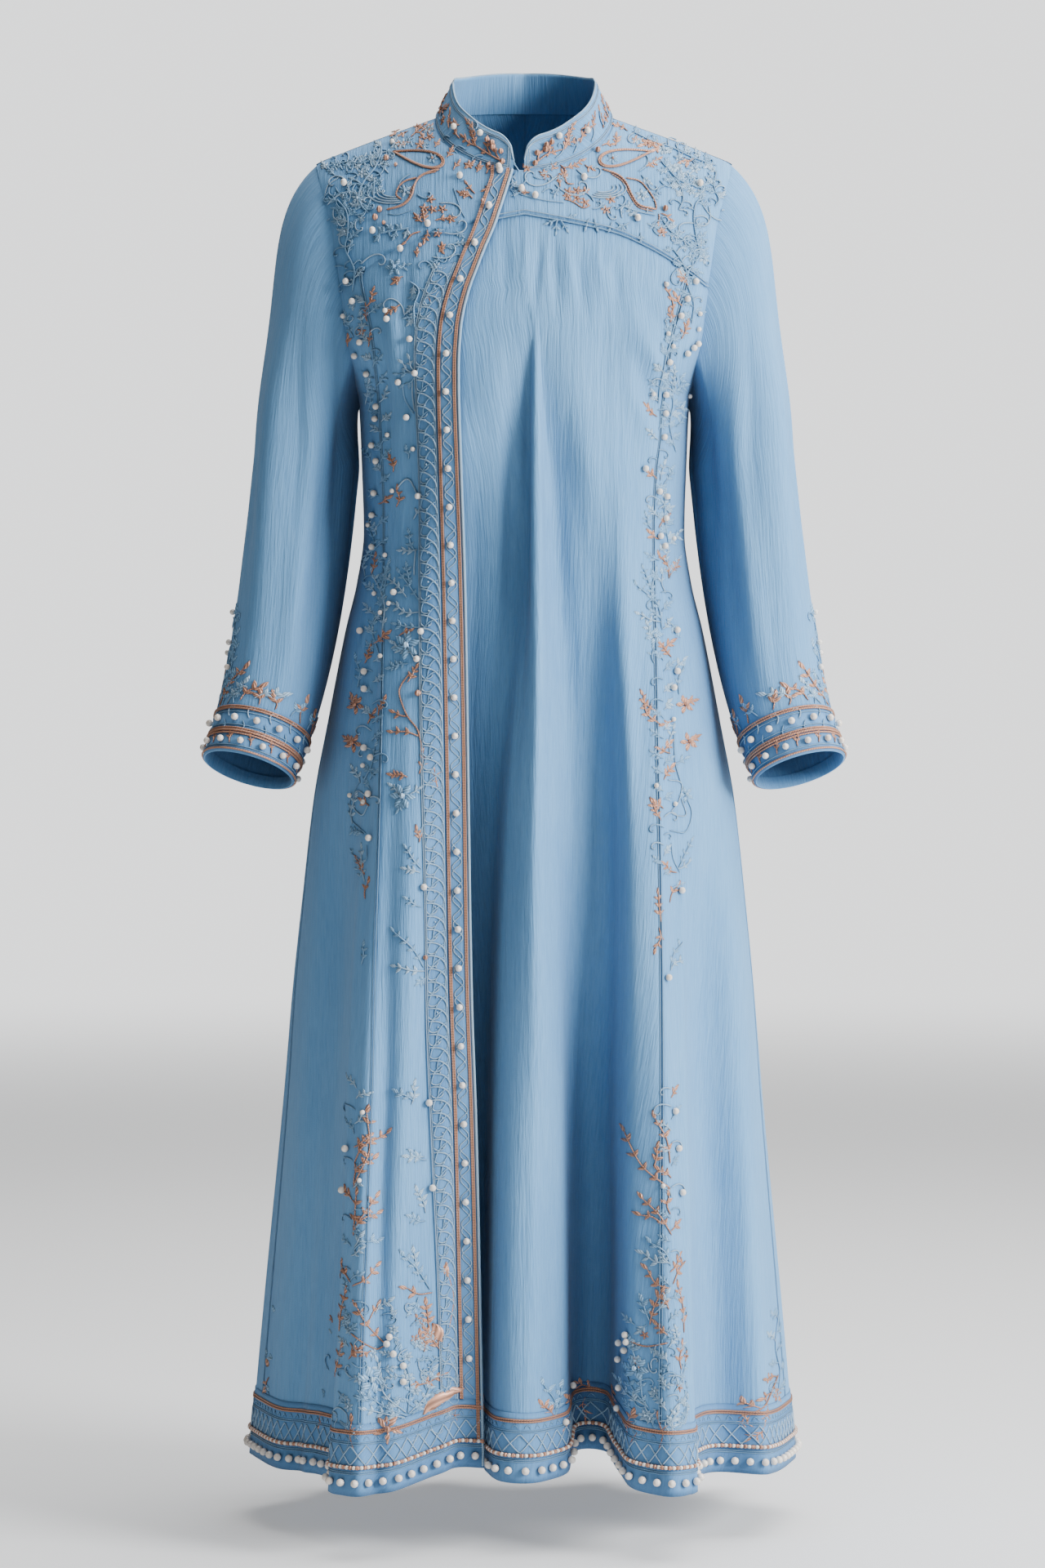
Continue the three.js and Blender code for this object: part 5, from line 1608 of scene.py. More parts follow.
for points in (
    [(-96, -158), (-86, -169), (-85, -175)],
    [(-99, -175), (-89, -184), (-87, -194), (-96, -194)],
):
    right.cord("pale", points, 0.5)
right.vine([(-134, -104), (-123, -102), (-105, -100)], spacing=4.5, reach=7, copper=0, pearls=0)
right.flower("blue", (-119, -138), 8, 6, "blue")
right.twig("blue", (-118, -138), 10, 9, pairs=1)
right.scatter(
    [(-183, -34), (-135, -7), (-122, -40), (-141, -64), (-155, -100), (-180, -98)], 8.5, copper=0, pearls=0,
    keep_off=((-167, -49, 5),),
)
for corners, pitch, copper, pearls in (
    ([(-84, -98), (-59, -98), (-70, -149), (-82, -196), (-105, -188), (-86, -142)], 9.0, 0.15, 0),
    ([(-118, 7), (-88, 9), (-84, -15), (-105, -18), (-123, -11)], 8.0, 0.35, 0.1),
    ([(-176, -154), (-144, -135), (-142, -196), (-166, -196)], 12.0, 0.1, 0),
):
    right.scatter(corners, pitch, copper=copper, pearls=pearls)

left = Layout(12)
left.teardrop("copper", (120, -18), (69, -32), 14.5, 0.85)
for points, radius in (
    ([(72, -39), (86, -44), (94, -52), (99, -64), (106, -75), (122, -79)], 0.95),
    ([(94, -47), (107, -50), (116, -61), (121, -71), (122, -79)], 0.8),
    ([(80, -43), (91, -51), (97, -64), (105, -77), (119, -81)], 0.55),
):
    left.cord("copper", points, radius)
for tint, centre, size, heart in (
    ("blue", (82, -28), 5, "copper"),
    ("pale", (109, -64), 6, "blue"),
):
    left.flower(tint, centre, size, 6, heart)
left.fan("pale", (72, -58), 22, 30, -120)
for spot in ((130, -78), (68, -21), (15, -23)):
    left.bead("copper", spot, 2.6)
for spot in ((-2, -62), (10, -69), (55, -49), (104, -90), (163, -50), (157, -149), (149, -166), (143, -182)):
    left.bead("pearl", spot, 3.1)
for spot in ((161, -178), (160, -192), (130, -154)):
    left.bead("pearl", spot, 2.4)
for points, radius in (
    ([(33, -36), (38, -41), (37, -48), (40, -55), (46, -55)], 0.7),
    ([(37, -71), (45, -74), (54, -80), (61, -77)], 0.6),
):
    left.cord("copper", points, radius)
for base, angle, length, pairs in (
    ((36, -39), 25, 18, 3), ((39, -53), 110, 9, 2), ((56, -35), 330, 6, 1), ((97, 2), 150, 12, 2),
    ((109, -5), 345, 15, 3), ((85, -15), 85, 10, 2), ((72, -16), 15, 9, 1), ((102, -11), 70, 4, 1),
    ((112, -35), 35, 15, 3), ((3, -42), 90, 4, 1), ((19, -52), 95, 6, 1), ((13, -43), 330, 6, 1), ((25, -42), 60, 4, 1),
    ((33, -59), 100, 7, 1), ((124, -83), 268, 8, 0), ((126, -83), 330, 9, 1), ((127, -105), 95, 4, 1),
    ((136, -184), 102, 28, 3), ((135, -188), 85, 6, 1), ((148, -196), 75, 8, 1),
):
    left.twig("copper", base, angle, length, pairs=pairs, size=4.6)
for spot in (
    (40, -68), (49, -62), (56, -62), (49, -70), (56, -74), (80, -70), (75, -81), (127, -103), (116, -10), (3, -40),
    (41, -63),
):
    left.flower("copper", spot, 4.6, 5, "copper")
for points, spacing, reach, copper in (
    ([(126, -26), (134, -36), (143, -46), (156, -51), (172, -56)], 6, 10, 0),
    ([(139, -44), (146, -56), (147, -68), (143, -78)], 5, 9, 0),
    ([(168, -64), (160, -69), (157, -85), (159, -106), (162, -122), (157, -132)], 6.5, 13, 0),
    ([(87, -75), (101, -81), (121, -85)], 9, 7, 0),
    ([(127, -88), (135, -101), (150, -112), (158, -124)], 5, 9, 0),
    ([(157, -132), (150, -142), (151, -155), (156, -169), (154, -188)], 7, 11, 0),
    ([(136, -118), (144, -129), (150, -142)], 5, 8, 0),
    ([(101, 2), (119, -7), (136, -12), (159, -22), (180, -28)], 5.5, 10, 0.1),
    ([(180, -34), (177, -51), (181, -64), (177, -71)], 6, 8, 0),
):
    left.vine(points, spacing=spacing, reach=reach, copper=copper, pearls=0)
for base, angle, size, way in (
    ((35, -22), 190, 9, 1), ((48, -40), 300, 12, 1), ((31, -47), 240, 16, -1), ((28, -56), 300, 16, 1),
    ((106, -40), 20, 10, 1), ((171, -72), 300, 12, -1), ((165, -69), 280, 14, 1), ((127, -16), 40, 10, -1),
    ((64, -73), 100, 8, 1), ((85, -81), 20, 9, 1), ((143, -137), 200, 9, 1), ((144, -154), 80, 8, -1),
    ((115, -96), 330, 10, 1), ((-5, -43), 100, 7, 1), ((3, -48), 270, 9, -1),
):
    left.curl("pale" if size > 10 else "blue", base, angle, size, way)
for points, radius in (
    ([(-13, -62), (-5, -66), (3, -69), (19, -73), (37, -75)], 0.6),
    ([(-13, -69), (-1, -64), (7, -64)], 0.5),
):
    left.cord("blue", points, radius)
for corners, pitch, copper in (
    ([(119, -3), (177, -24), (177, -67), (154, -64), (150, -48), (127, -24)], 8.5, 0),
    ([(146, -109), (165, -104), (167, -128), (155, -130)], 6.0, 0),
    ([(-10, -35), (31, -43), (42, -75), (-10, -72)], 13.0, 0.3),
    ([(61, -75), (119, -91), (146, -117), (101, -96), (61, -83)], 9.0, 0.1),
    ([(98, -36), (132, -43), (136, -72), (127, -69), (122, -59)], 9.0, 0),
):
    left.scatter(corners, pitch, copper=copper, pearls=0)
for base, angle, length in (
    ((31, -92), 205, 9), ((31, -92), 262, 12), ((33, -93), 300, 10), ((38, -91), 20, 6), ((60, -91), 250, 9),
    ((64, -91), 285, 9), ((81, -94), 250, 6), ((84, -94), 320, 7), ((107, -104), 270, 5),
):
    left.twig("blue", base, angle, length, pairs=1, size=4.4)

PLEAT_X = 20


def side_of(at, middle=0):
    return right if at[0] < middle else left


# Down the seams and beside the trellis
for base, angle, length, tint, pairs in (
    ((-94, -447), 125, 34, "blue", 3), ((-95, -456), 160, 24, "pale", 3), ((-94, -470), 170, 22, "blue", 3),
    ((-103, -493), 150, 18, "pale", 3), ((-105, -503), 190, 16, "blue", 3), ((-100, -498), 110, 20, "pale", 2),
    ((-93, -689), 125, 22, "blue", 3), ((-94, -692), 165, 12, "pale", 2), ((-93, -723), 150, 13, "blue", 2),
    ((-90, -777), 130, 42, "blue", 4), ((-89, -780), 170, 26, "pale", 3), ((-87, -785), 215, 8, "blue", 2),
    ((-105, -622), 150, 16, "pale", 3), ((-107, -623), 240, 12, "blue", 3), ((-103, -621), 30, 8, "pale", 1),
    ((-90, -648), 250, 8, "blue", 1), ((-133, -493), 85, 50, "blue", 5), ((-130, -476), 100, 60, "pale", 5),
    ((-132, -454), 80, 44, "blue", 4), ((-154, -523), 95, 26, "blue", 3), ((-147, -608), 70, 32, "blue", 3),
    ((-152, -611), 120, 14, "pale", 2), ((-144, -701), 125, 36, "blue", 4), ((-144, -701), 100, 30, "pale", 3),
    ((-145, -775), 85, 16, "blue", 2), ((-147, -657), 175, 16, "blue", 3), ((-161, -648), 80, 24, "pale", 3),
    ((126, -471), 120, 46, "blue", 4), ((125, -464), 160, 20, "pale", 2), ((118, -452), 85, 34, "blue", 3),
    ((118, -481), 110, 14, "pale", 2), ((119, -503), 95, 14, "blue", 1), ((130, -461), 310, 14, "blue", 1),
    ((142, -530), 80, 26, "blue", 2), ((137, -510), 50, 14, "pale", 1), ((133, -584), 80, 22, "pale", 2),
    ((137, -594), 25, 12, "blue", 1), ((142, -689), 60, 28, "blue", 3), ((142, -689), 30, 18, "pale", 2),
    ((135, -706), 20, 10, "blue", 1), ((133, -780), 60, 30, "blue", 3), ((133, -780), 30, 18, "pale", 2),
    ((130, -437), 100, 18, "pale", 1),
):
    side_of(base).twig(tint, base, angle, length, pairs=pairs, size=5.2)
for base, angle, length, pairs in (
    ((-114, -477), 25, 9, 1), ((-147, -501), 70, 12, 2), ((-156, -542), 110, 9, 2), ((-133, -550), 70, 14, 2),
    ((-156, -575), 150, 9, 2), ((-144, -557), 60, 10, 1), ((-144, -694), 130, 16, 2), ((-143, -716), 80, 14, 1),
    ((-95, -569), 170, 24, 2), ((-106, -551), 160, 12, 1), ((-106, -520), 60, 14, 2), ((-105, -606), 170, 14, 3),
    ((-95, -665), 100, 10, 2), ((-78, -616), 100, 14, 2), ((-95, -603), 80, 18, 2), ((135, -496), 130, 14, 3),
    ((144, -540), 20, 12, 2), ((125, -559), 120, 32, 4), ((120, -546), 140, 12, 2), ((150, -574), 30, 9, 2),
    ((134, -584), 160, 10, 1), ((124, -645), 115, 17, 3), ((141, -692), 150, 14, 2), ((123, -736), 95, 24, 3),
    ((121, -741), 260, 18, 2), ((133, -719), 60, 16, 1), ((134, -420), 60, 12, 2), ((137, -554), 200, 9, 1),
):
    side_of(base).twig("copper", base, angle, length, pairs=pairs, size=5.4)
right.cord("copper", [(-104, -512), (-112, -523), (-113, -532), (-106, -550), (-96, -564), (-92, -584)], 0.75)
for layout, tint, centre, size, petals, heart in (
    (right, "blue", (-110, -623), 11, 6, "pale"),
    (right, "copper", (-159, -574), 8, 5, "copper"),
    (right, "copper", (-156, -539), 8, 5, "copper"),
    (right, "blue", (-107, -486), 12, 6, "pale"),
    (left, "blue", (119, -477), 8, 6, "pale"),
    (left, "copper", (148, -539), 8, 5, "copper"),
    (left, "copper", (152, -573), 8, 5, "copper"),
    (left, "blue", (150, -621), 7, 5, "pale"),
):
    layout.flower(tint, centre, size, petals, heart)
for layout, tint, points in (
    (left, "blue", [(137, -564), (139, -594), (149, -621), (156, -638), (150, -655), (133, -654)]),
    (left, "pale", [(131, -608), (145, -611), (142, -628), (135, -638), (150, -640), (145, -625)]),
    (left, "blue", [(135, -665), (137, -679), (144, -692)]),
    (right, "blue", [(-152, -608), (-163, -628), (-161, -645), (-144, -657)]),
    (right, "pale", [(-141, -625), (-156, -618), (-159, -633), (-149, -640), (-142, -630)]),
    (right, "blue", [(-164, -670), (-159, -677), (-144, -682), (-143, -667)]),
):
    layout.cord(tint, points, 0.6)
for spot in (
    (-150, -471), (-146, -509), (-146, -525), (-146, -579), (-139, -588), (-141, -621), (-139, -661), (-93, -474),
    (-97, -499), (-91, -705), (-118, -437),
):
    right.bead("pearl", spot, 3.2)
for spot in ((-162, -622), (-137, -437), (-123, -447), (-147, -628)):
    right.bead("pearl", spot, 2.3)
for spot in ((139, -471), (139, -509), (136, -524), (145, -708), (129, -786)):
    left.bead("pearl", spot, 3.2)
for spot in ((138, -630), (136, -553)):
    left.bead("pearl", spot, 2.3)
for at, radius in (
    ((-96, -530), 3.0),
    ((-89, -768), 2.4),
):
    right.bead("copper", at, radius)

# Small leaves and curls beside the princess seams
for layout, points, spacing, reach, copper in (
    (right, [(-145, -165), (-139, -230), (-131, -293), (-136, -382), (-139, -508), (-141, -640)], 9, 13, 0.12),
    (right, [(-148, -880), (-152, -960), (-154, -1040), (-156, -1150)], 10, 14, 0.2),
    (left, [(152, -150), (124, -260), (124, -395), (127, -512), (126, -700)], 9, 12, 0.12),
    (left, [(132, -880), (131, -980), (128, -1100), (127, -1170)], 10, 14, 0.2),
):
    layout.vine(points, spacing=spacing, reach=reach, copper=copper, pearls=0.1, stem=False)
for layout, corners, pitch, copper in (
    (left, [(100, -1090), (150, -1090), (160, -1190), (90, -1190)], 11.0, 0.1),
    (right, [(-195, -1080), (-100, -1080), (-90, -1190), (-205, -1190)], 13.0, 0.1),
    (right, [(-100, -1090), (-60, -1110), (-58, -1190), (-95, -1190)], 9.0, 0.15),
):
    layout.scatter(corners, pitch, copper=copper, pearls=0)

# Towards the hem
for base, angle, length, tint, pairs in (
    ((-151, -973), 80, 68, "copper", 4), ((-150, -951), 45, 38, "copper", 3), ((-151, -970), 55, 28, "copper", 2),
    ((-151, -1012), 60, 36, "copper", 3), ((-151, -1015), 85, 36, "copper", 2), ((-146, -1003), 30, 16, "copper", 1),
    ((-151, -1028), 25, 22, "blue", 2), ((-150, -1025), 60, 10, "pale", 1), ((-154, -1056), 125, 24, "copper", 2),
    ((-152, -1059), 42, 26, "copper", 2), ((-123, -1109), 127, 40, "copper", 3), ((-137, -1087), 60, 12, "copper", 1),
    ((-133, -1083), 40, 16, "pale", 2), ((-166, -1100), 80, 34, "copper", 3), ((-171, -1142), 75, 28, "copper", 2),
    ((-85, -1064), 125, 38, "blue", 4), ((-95, -1051), 100, 20, "pale", 2), ((-83, -1067), 165, 22, "copper", 1),
    ((-95, -1070), 240, 12, "blue", 2), ((-86, -1100), 95, 22, "copper", 3), ((-77, -1119), 120, 22, "copper", 4),
    ((-90, -1119), 100, 14, "copper", 2), ((-96, -1148), 20, 20, "copper", 2), ((-104, -1174), 150, 42, "blue", 5),
    ((-105, -1171), 118, 52, "pale", 5), ((-104, -1172), 96, 56, "blue", 5), ((-103, -1172), 60, 40, "pale", 4),
    ((-106, -1175), 165, 34, "pale", 3), ((-101, -1174), 40, 26, "blue", 3), ((-88, -946), 175, 14, "pale", 2),
    ((-86, -949), 150, 14, "blue", 2), ((-88, -1003), 160, 12, "blue", 2), ((-88, -996), 110, 20, "pale", 3),
    ((-98, -896), 150, 16, "blue", 2), ((-101, -899), 80, 16, "pale", 2), ((-120, -1192), 95, 12, "copper", 2),
    ((-150, -1201), 95, 24, "copper", 1), ((-23, -1185), 75, 34, "blue", 2), ((-23, -1184), 100, 30, "blue", 2),
    ((-23, -1184), 55, 16, "copper", 2), ((26, -1182), 105, 34, "blue", 2), ((25, -1182), 80, 28, "blue", 2),
    ((26, -1180), 125, 16, "copper", 2), ((-35, -1177), 90, 18, "copper", 2), ((130, -973), 128, 62, "copper", 4),
    ((130, -951), 108, 42, "copper", 3), ((116, -954), 80, 16, "copper", 2), ((131, -1014), 128, 40, "copper", 3),
    ((122, -1003), 160, 18, "copper", 1), ((130, -996), 95, 16, "copper", 1), ((130, -1041), 130, 26, "blue", 2),
    ((128, -1038), 160, 22, "pale", 2), ((130, -1061), 140, 26, "copper", 2), ((132, -1057), 50, 26, "copper", 2),
    ((112, -1093), 70, 30, "copper", 3), ((112, -1090), 110, 18, "blue", 2), ((116, -1083), 60, 20, "pale", 2),
    ((145, -1100), 100, 40, "copper", 4), ((140, -1132), 85, 20, "copper", 2), ((96, -1192), 80, 18, "copper", 3),
    ((120, -1201), 92, 26, "copper", 1), ((111, -1166), 120, 34, "blue", 4), ((109, -1164), 150, 30, "pale", 3),
    ((106, -1158), 100, 48, "blue", 4), ((133, -1151), 60, 26, "blue", 3), ((137, -1164), 45, 30, "pale", 4),
    ((148, -1164), 70, 34, "blue", 4), ((158, -1184), 85, 60, "pale", 5), ((135, -1184), 60, 26, "blue", 3),
    ((132, -1188), 80, 20, "pale", 3),
):
    side_of(base, PLEAT_X).twig(tint, base, angle, length, pairs=pairs, size=6.2)
for side, lines in (
    (right, (((-153, -1100), (-133, -1113), (-124, -1111)), ((-69, -1054), (-64, -1074), (-69, -1100)))),
    (left, (((128, -1108), (109, -1112), (98, -1109)),)),
):
    for line in lines:
        side.cord("copper", list(line), 0.7)
for tint, points, radius in (
    ("blue", [(-178, -1154), (-162, -1159), (-150, -1164), (-135, -1179), (-125, -1185)], 0.8),
    ("pale", [(-174, -1174), (-166, -1166), (-156, -1172), (-159, -1187), (-169, -1184), (-166, -1175)], 0.6),
    ("pale", [(-164, -1177), (-154, -1184), (-156, -1200), (-161, -1205)], 0.6),
    ("blue", [(-177, -1145), (-174, -1164), (-178, -1180)], 0.6),
):
    right.cord(tint, points, radius)
for tint, centre, petals, heart in (
    ("blue", (-135, -1140), 6, "pale"),
    ("copper", (-121, -1184), 5, "copper"),
):
    right.flower(tint, centre, 12, petals, heart)
right.leaf("copper", np.array((-91, -1174)), 28, 42, 12, 5)
right.leaf("copper", np.array((-77, -1111)), 110, 18, 9, -2)
right.leaf("copper", np.array((-70, -1054)), 100, 14, 8, 1)
for tint, points, radius in (
    ("blue", [(124, -1166), (135, -1154), (151, -1149), (161, -1158)], 0.8),
    ("pale", [(128, -1174), (137, -1161), (148, -1166), (143, -1179), (133, -1174)], 0.6),
    ("pale", [(125, -1180), (130, -1196), (125, -1205)], 0.6),
    ("blue", [(159, -1158), (163, -1177), (161, -1203)], 0.6),
):
    left.cord(tint, points, radius)
left.flower("blue", (101, -1132), 10, 6, "pale")
for spot in (
    (-120, -1103), (-122, -1109), (-117, -1118), (-109, -1129), (-109, -1143), (-158, -939), (-162, -976),
    (-177, -1113), (-85, -898), (-83, -974), (-29, -1186),
):
    side_of(spot, PLEAT_X).bead("pearl", spot, 3.3)
left.bead("copper", (-23, -1172), 1.6)
for spot in (
    (95, -1104), (96, -1110), (87, -1114), (94, -1118), (86, -1129), (87, -1154), (85, -1173), (156, -1110),
    (161, -1129), (140, -938), (144, -977), (136, -905), (32, -1185), (44, -1157),
):
    left.bead("pearl", spot, 3.2)
for side, points, tint in (
    (right, [(-245, -1164), (-227, -1159), (-214, -1164), (-211, -1179)], "copper"),
    (right, [(-209, -1192), (-198, -1188), (-183, -1179)], "copper"),
    (right, [(-237, -1093), (-238, -1125), (-234, -1158), (-243, -1184)], "blue"),
    (left, [(38, -1179), (57, -1171), (80, -1151)], "copper"),
    (left, [(166, -1171), (180, -1187), (190, -1196), (216, -1199)], "copper"),
    (left, [(198, -1190), (219, -1177), (235, -1159)], "copper"),
    (left, [(237, -1106), (232, -1132), (237, -1158), (232, -1184)], "blue"),
):
    side.vine(points, tint, spacing=9, reach=14, copper=1.0 if tint == "copper" else 0.0, pearls=0, curls=0.3)
for x, z, angle, size in ((175, -1171, 80, 24), (-166, -1054, 100, 12), (-230, -1174, 60, 14)):
    side_of((x, z)).twig("copper", (x, z), angle, size, pairs=2, size=6.0)
# Sides of the chest
for spot in (
    (-124, -187), (-104, -206), (-150, -205), (-155, -216), (-144, -233), (-99, -237), (-114, -244), (-107, -277),
    (-135, -264), (-136, -275), (-139, -299), (-135, -314), (-137, -343), (-97, -349), (-139, -363), (-139, -393),
    (-118, -437), (132, -224), (149, -215), (155, -209), (159, -205), (129, -254), (129, -271), (127, -293),
    (110, -323), (123, -343), (130, -347), (129, -367), (124, -384), (128, -393),
):
    side_of(spot).bead("pearl", spot, 3.1)
for spot in ((-120, -343), (-102, -306), (-159, -244), (136, -210), (160, -192), (153, -250), (137, -385)):
    side_of(spot).bead("pearl", spot, 2.3)
for base, angle, length, tint, pairs in (
    ((-120, -326), 105, 13, "copper", 2), ((-117, -358), 88, 15, "copper", 2), ((-143, -210), 80, 9, "copper", 1),
    ((-141, -418), 78, 15, "copper", 2), ((-163, -207), 90, 6, "copper", 1), ((-99, -238), 175, 15, "blue", 1),
    ((-99, -237), 140, 15, "pale", 1), ((-99, -239), 215, 13, "blue", 1), ((-99, -236), 115, 13, "pale", 1),
    ((-97, -398), 180, 14, "pale", 2), ((-99, -400), 110, 18, "blue", 2), ((-107, -442), 135, 28, "pale", 4),
    ((-104, -432), 100, 18, "blue", 3), ((-102, -370), 60, 10, "pale", 1), ((-129, -437), 82, 22, "blue", 3),
    ((-142, -403), 95, 30, "blue", 4), ((-147, -420), 80, 26, "pale", 3), ((-142, -315), 120, 14, "blue", 2),
    ((-144, -267), 95, 26, "blue", 4), ((-147, -260), 80, 18, "pale", 2), ((-157, -200), 110, 22, "blue", 3),
    ((-149, -199), 95, 18, "pale", 2), ((-107, -315), 100, 8, "blue", 1), ((144, -203), 65, 13, "copper", 2),
    ((133, -423), 112, 22, "copper", 3), ((134, -189), 95, 9, "copper", 1), ((139, -249), 60, 14, "blue", 2),
    ((140, -249), 95, 18, "pale", 3), ((138, -249), 30, 12, "blue", 2), ((139, -265), 10, 10, "pale", 1),
    ((140, -282), 70, 22, "blue", 3), ((125, -333), 75, 15, "pale", 2), ((128, -336), 60, 16, "blue", 2),
    ((117, -378), 112, 12, "blue", 2), ((127, -392), 40, 22, "pale", 2), ((130, -383), 80, 22, "blue", 3),
    ((134, -422), 62, 20, "blue", 3), ((134, -412), 95, 16, "pale", 2), ((120, -442), 112, 28, "blue", 4),
    ((141, -377), 250, 6, "blue", 1), ((127, -359), 80, 14, "pale", 2),
):
    side_of(base).twig(tint, base, angle, length, pairs=pairs, size=4.8)
for tint, points, radius in (
    ("blue", [(-111, -247), (-109, -260), (-101, -274)], 0.7),
    ("pale", [(-102, -244), (-102, -257), (-100, -272)], 0.7),
    ("pale", [(-116, -340), (-107, -333), (-99, -347)], 0.8),
    ("pale", [(-100, -422), (-100, -412), (-99, -398)], 0.7),
):
    right.cord(tint, points, radius)
for points in (
    [(139, -185), (134, -207), (126, -232), (124, -262)],
    [(136, -242), (137, -262), (134, -282), (140, -305)],
    [(130, -340), (129, -365), (133, -390)],
):
    left.vine(points, spacing=6, reach=8, copper=0, pearls=0)
right.lay("right_front", on_front(SIDE_RIGHT, EDGE))
left.lay("left_front", on_front(UNDER_EDGE, SIDE_LEFT))


# Seams of the yokes and the princess seams
def yoke_seam_path(low, high, first, last):
    """Points and normals along the yoke seam."""
    share = np.linspace(first, last, 120)
    line = between(low, high, share)
    level = yoke_level(line)
    return surface(line(level), level)


stitches, cords = Batch(), Batch()
points, normals = yoke_seam_path(always(UNDER_EDGE), armhole_front_left, 0.02, 0.985)
tube(cords, points, normals, 0.7, sink=0.9, taper=False)
tube(stitches, points + (0, 0, 3.0), normals, 0.4, sink=0.2, taper=False)
for place in (PRINCESS_LEFT, PRINCESS_RIGHT):
    level = np.linspace(float(yoke_level(always(np.float64(place)))) - 2, HEM_BAND_LEVEL, 560)
    points, normals = surface(always(place)(level), level)
    side_by_side(cords, (points, normals), 0.55, 1.2)
nape_level = float(level_of_z(np.float64(0), np.float64(NECK_BACK_RISE - 3), False))
for place, first in ((SIDE_LEFT, ARMPIT_LEVEL - 4), (SIDE_RIGHT, ARMPIT_LEVEL - 4), (CENTRE_BACK, nape_level)):
    level = np.linspace(first, HEM_BAND_LEVEL, 420)
    tube(cords, *surface(always(place)(level), level), 0.5, sink=0.5, taper=False)
cords.make("seam_cords", BLUE, "blue_thread")
stitches.make("seam_stitches", PALE, "blue_thread")


# Collar: flat drawings have their x along the neckline from the +X tip, and their z up from it
COLLAR_ROWS = 14
collar_table = collar_at(np.linspace(0, 1, COLLAR_ROWS))
collar_normals = grid_normals(collar_table[::-1])[::-1]


def on_collar(x, z):
    """Where flat drawings come to lie on the collar."""
    column = np.clip(np.asarray(x) / ring_along[-1] * (len(ring_along) - 1), 0, len(ring_along) - 1.001)
    row = np.clip(np.asarray(z) / COLLAR_HEIGHT * (COLLAR_ROWS - 1), 0, COLLAR_ROWS - 1.001)
    return mixed(collar_table, row, column), unit(mixed(collar_normals, row, column)), np.zeros(len(column))


collar_trim = Layout(13)
collar_end = ring_along[-1]
for start, way in ((0.0, 1), (collar_end, -1)):
    spot = lambda x, z: (start + way * x, z)
    turned = lambda angle: angle if way > 0 else 180 - angle
    for base, angle, length, pairs in (
        ((10, 8), 14, 30, 1), ((13, 10), 62, 12, 1), ((22, 12), 70, 14, 1), ((40, 15), 50, 14, 3), ((40, 15), 5, 16, 2),
        ((44, 27), 20, 14, 2), ((60, 13), 30, 18, 2), ((66, 24), -15, 14, 2), ((82, 14), 40, 16, 2),
    ):
        collar_trim.twig("copper", spot(*base), turned(angle), length, pairs=pairs, size=5.0)
    for x, z in ((10, 8), (12, 19), (22, 25), (28, 26), (21, 20)):
        collar_trim.bead("copper", spot(x, z), 2.5)
    for x, z in ((37, 29), (72, 19)):
        collar_trim.bead("pearl", spot(x, z), 3.1)
    for x, z, angle in ((30, 9, 0), (50, 7, 20), (56, 28, 200), (74, 8, 10)):
        collar_trim.curl("blue", spot(x, z), turned(angle), 8)
for x in np.arange(100, collar_end - 98, 21.0):
    collar_trim.twig("copper", (x, 9), 60, 16, pairs=2, size=5)
    collar_trim.curl("blue", (x + 9, 24), 200, 8)
    collar_trim.flower("copper", (x + 14, 13), 4.5, 5, "copper")
along = np.linspace(4, collar_end - 4, 26)
for height in (3.2, 5.0):
    collar_trim.cord("pale", np.stack([along, along * 0 + height], -1), 0.4)

collar_trim.lay("collar", on_collar, lift=0.1)
edges = Batch()
for share in (0.93, 0.885):
    tube(edges, collar_at([share])[0], collar_normals[-2], 0.4, sink=0.2, taper=False)
for inset in (3.2, 5.0):
    column = np.interp(np.array([inset, collar_end - inset]), ring_along, np.arange(len(ring_along)))
    for where in column:
        rows = np.linspace(0.1, 0.93, 14)
        x = np.interp(where, np.arange(len(ring_along)), ring_along)
        points, normals, _ = on_collar(np.full(len(rows), x), rows * COLLAR_HEIGHT)
        tube(edges, points, normals, 0.4, sink=0.2, taper=False)
tube(
    edges, collar_at([1], -1.0)[0] + (0, 0, 0.4), np.tile([0.0, 0, 1], (len(ring_along), 1)), 1.0, sink=0.5,
    taper=False,
)
edges.make("collar_stitches", PALE, "blue_thread")

# Cuffs: x is the way round from the turn 0, z the height above the cuff's end
CUFF_HEIGHT = 47.0
CUFF_ROUND = 257.0
TUBE_LENGTH = 295.0
CUFF_ROWS = 9
CUFF_COLUMNS = 97


def on_sleeve(side):
    """Where flat drawings come to lie on the sleeve of one side."""

    def place_on(x, z):
        turn = np.asarray(x, float) / CUFF_ROUND
        share = 1 - np.asarray(z, float) / TUBE_LENGTH
        points = sleeve_ring(turn, share)[0]
        ahead, down = sleeve_ring(turn + 0.01, share)[0], sleeve_ring(turn, share - 0.01)[0]
        normals = unit(np.cross(down - points, ahead - points))
        normals = normals * np.sign(np.sum(normals * (points - spine(share)[0]), -1))[..., None]
        depth = sleeve_fold(turn, CAP_SHARE + (1 - CAP_SHARE) * share)
        mirror = np.array([side, 1, 1])
        return (points + normals * depth[..., None]) * mirror, normals * mirror, np.zeros(len(points))

    return place_on


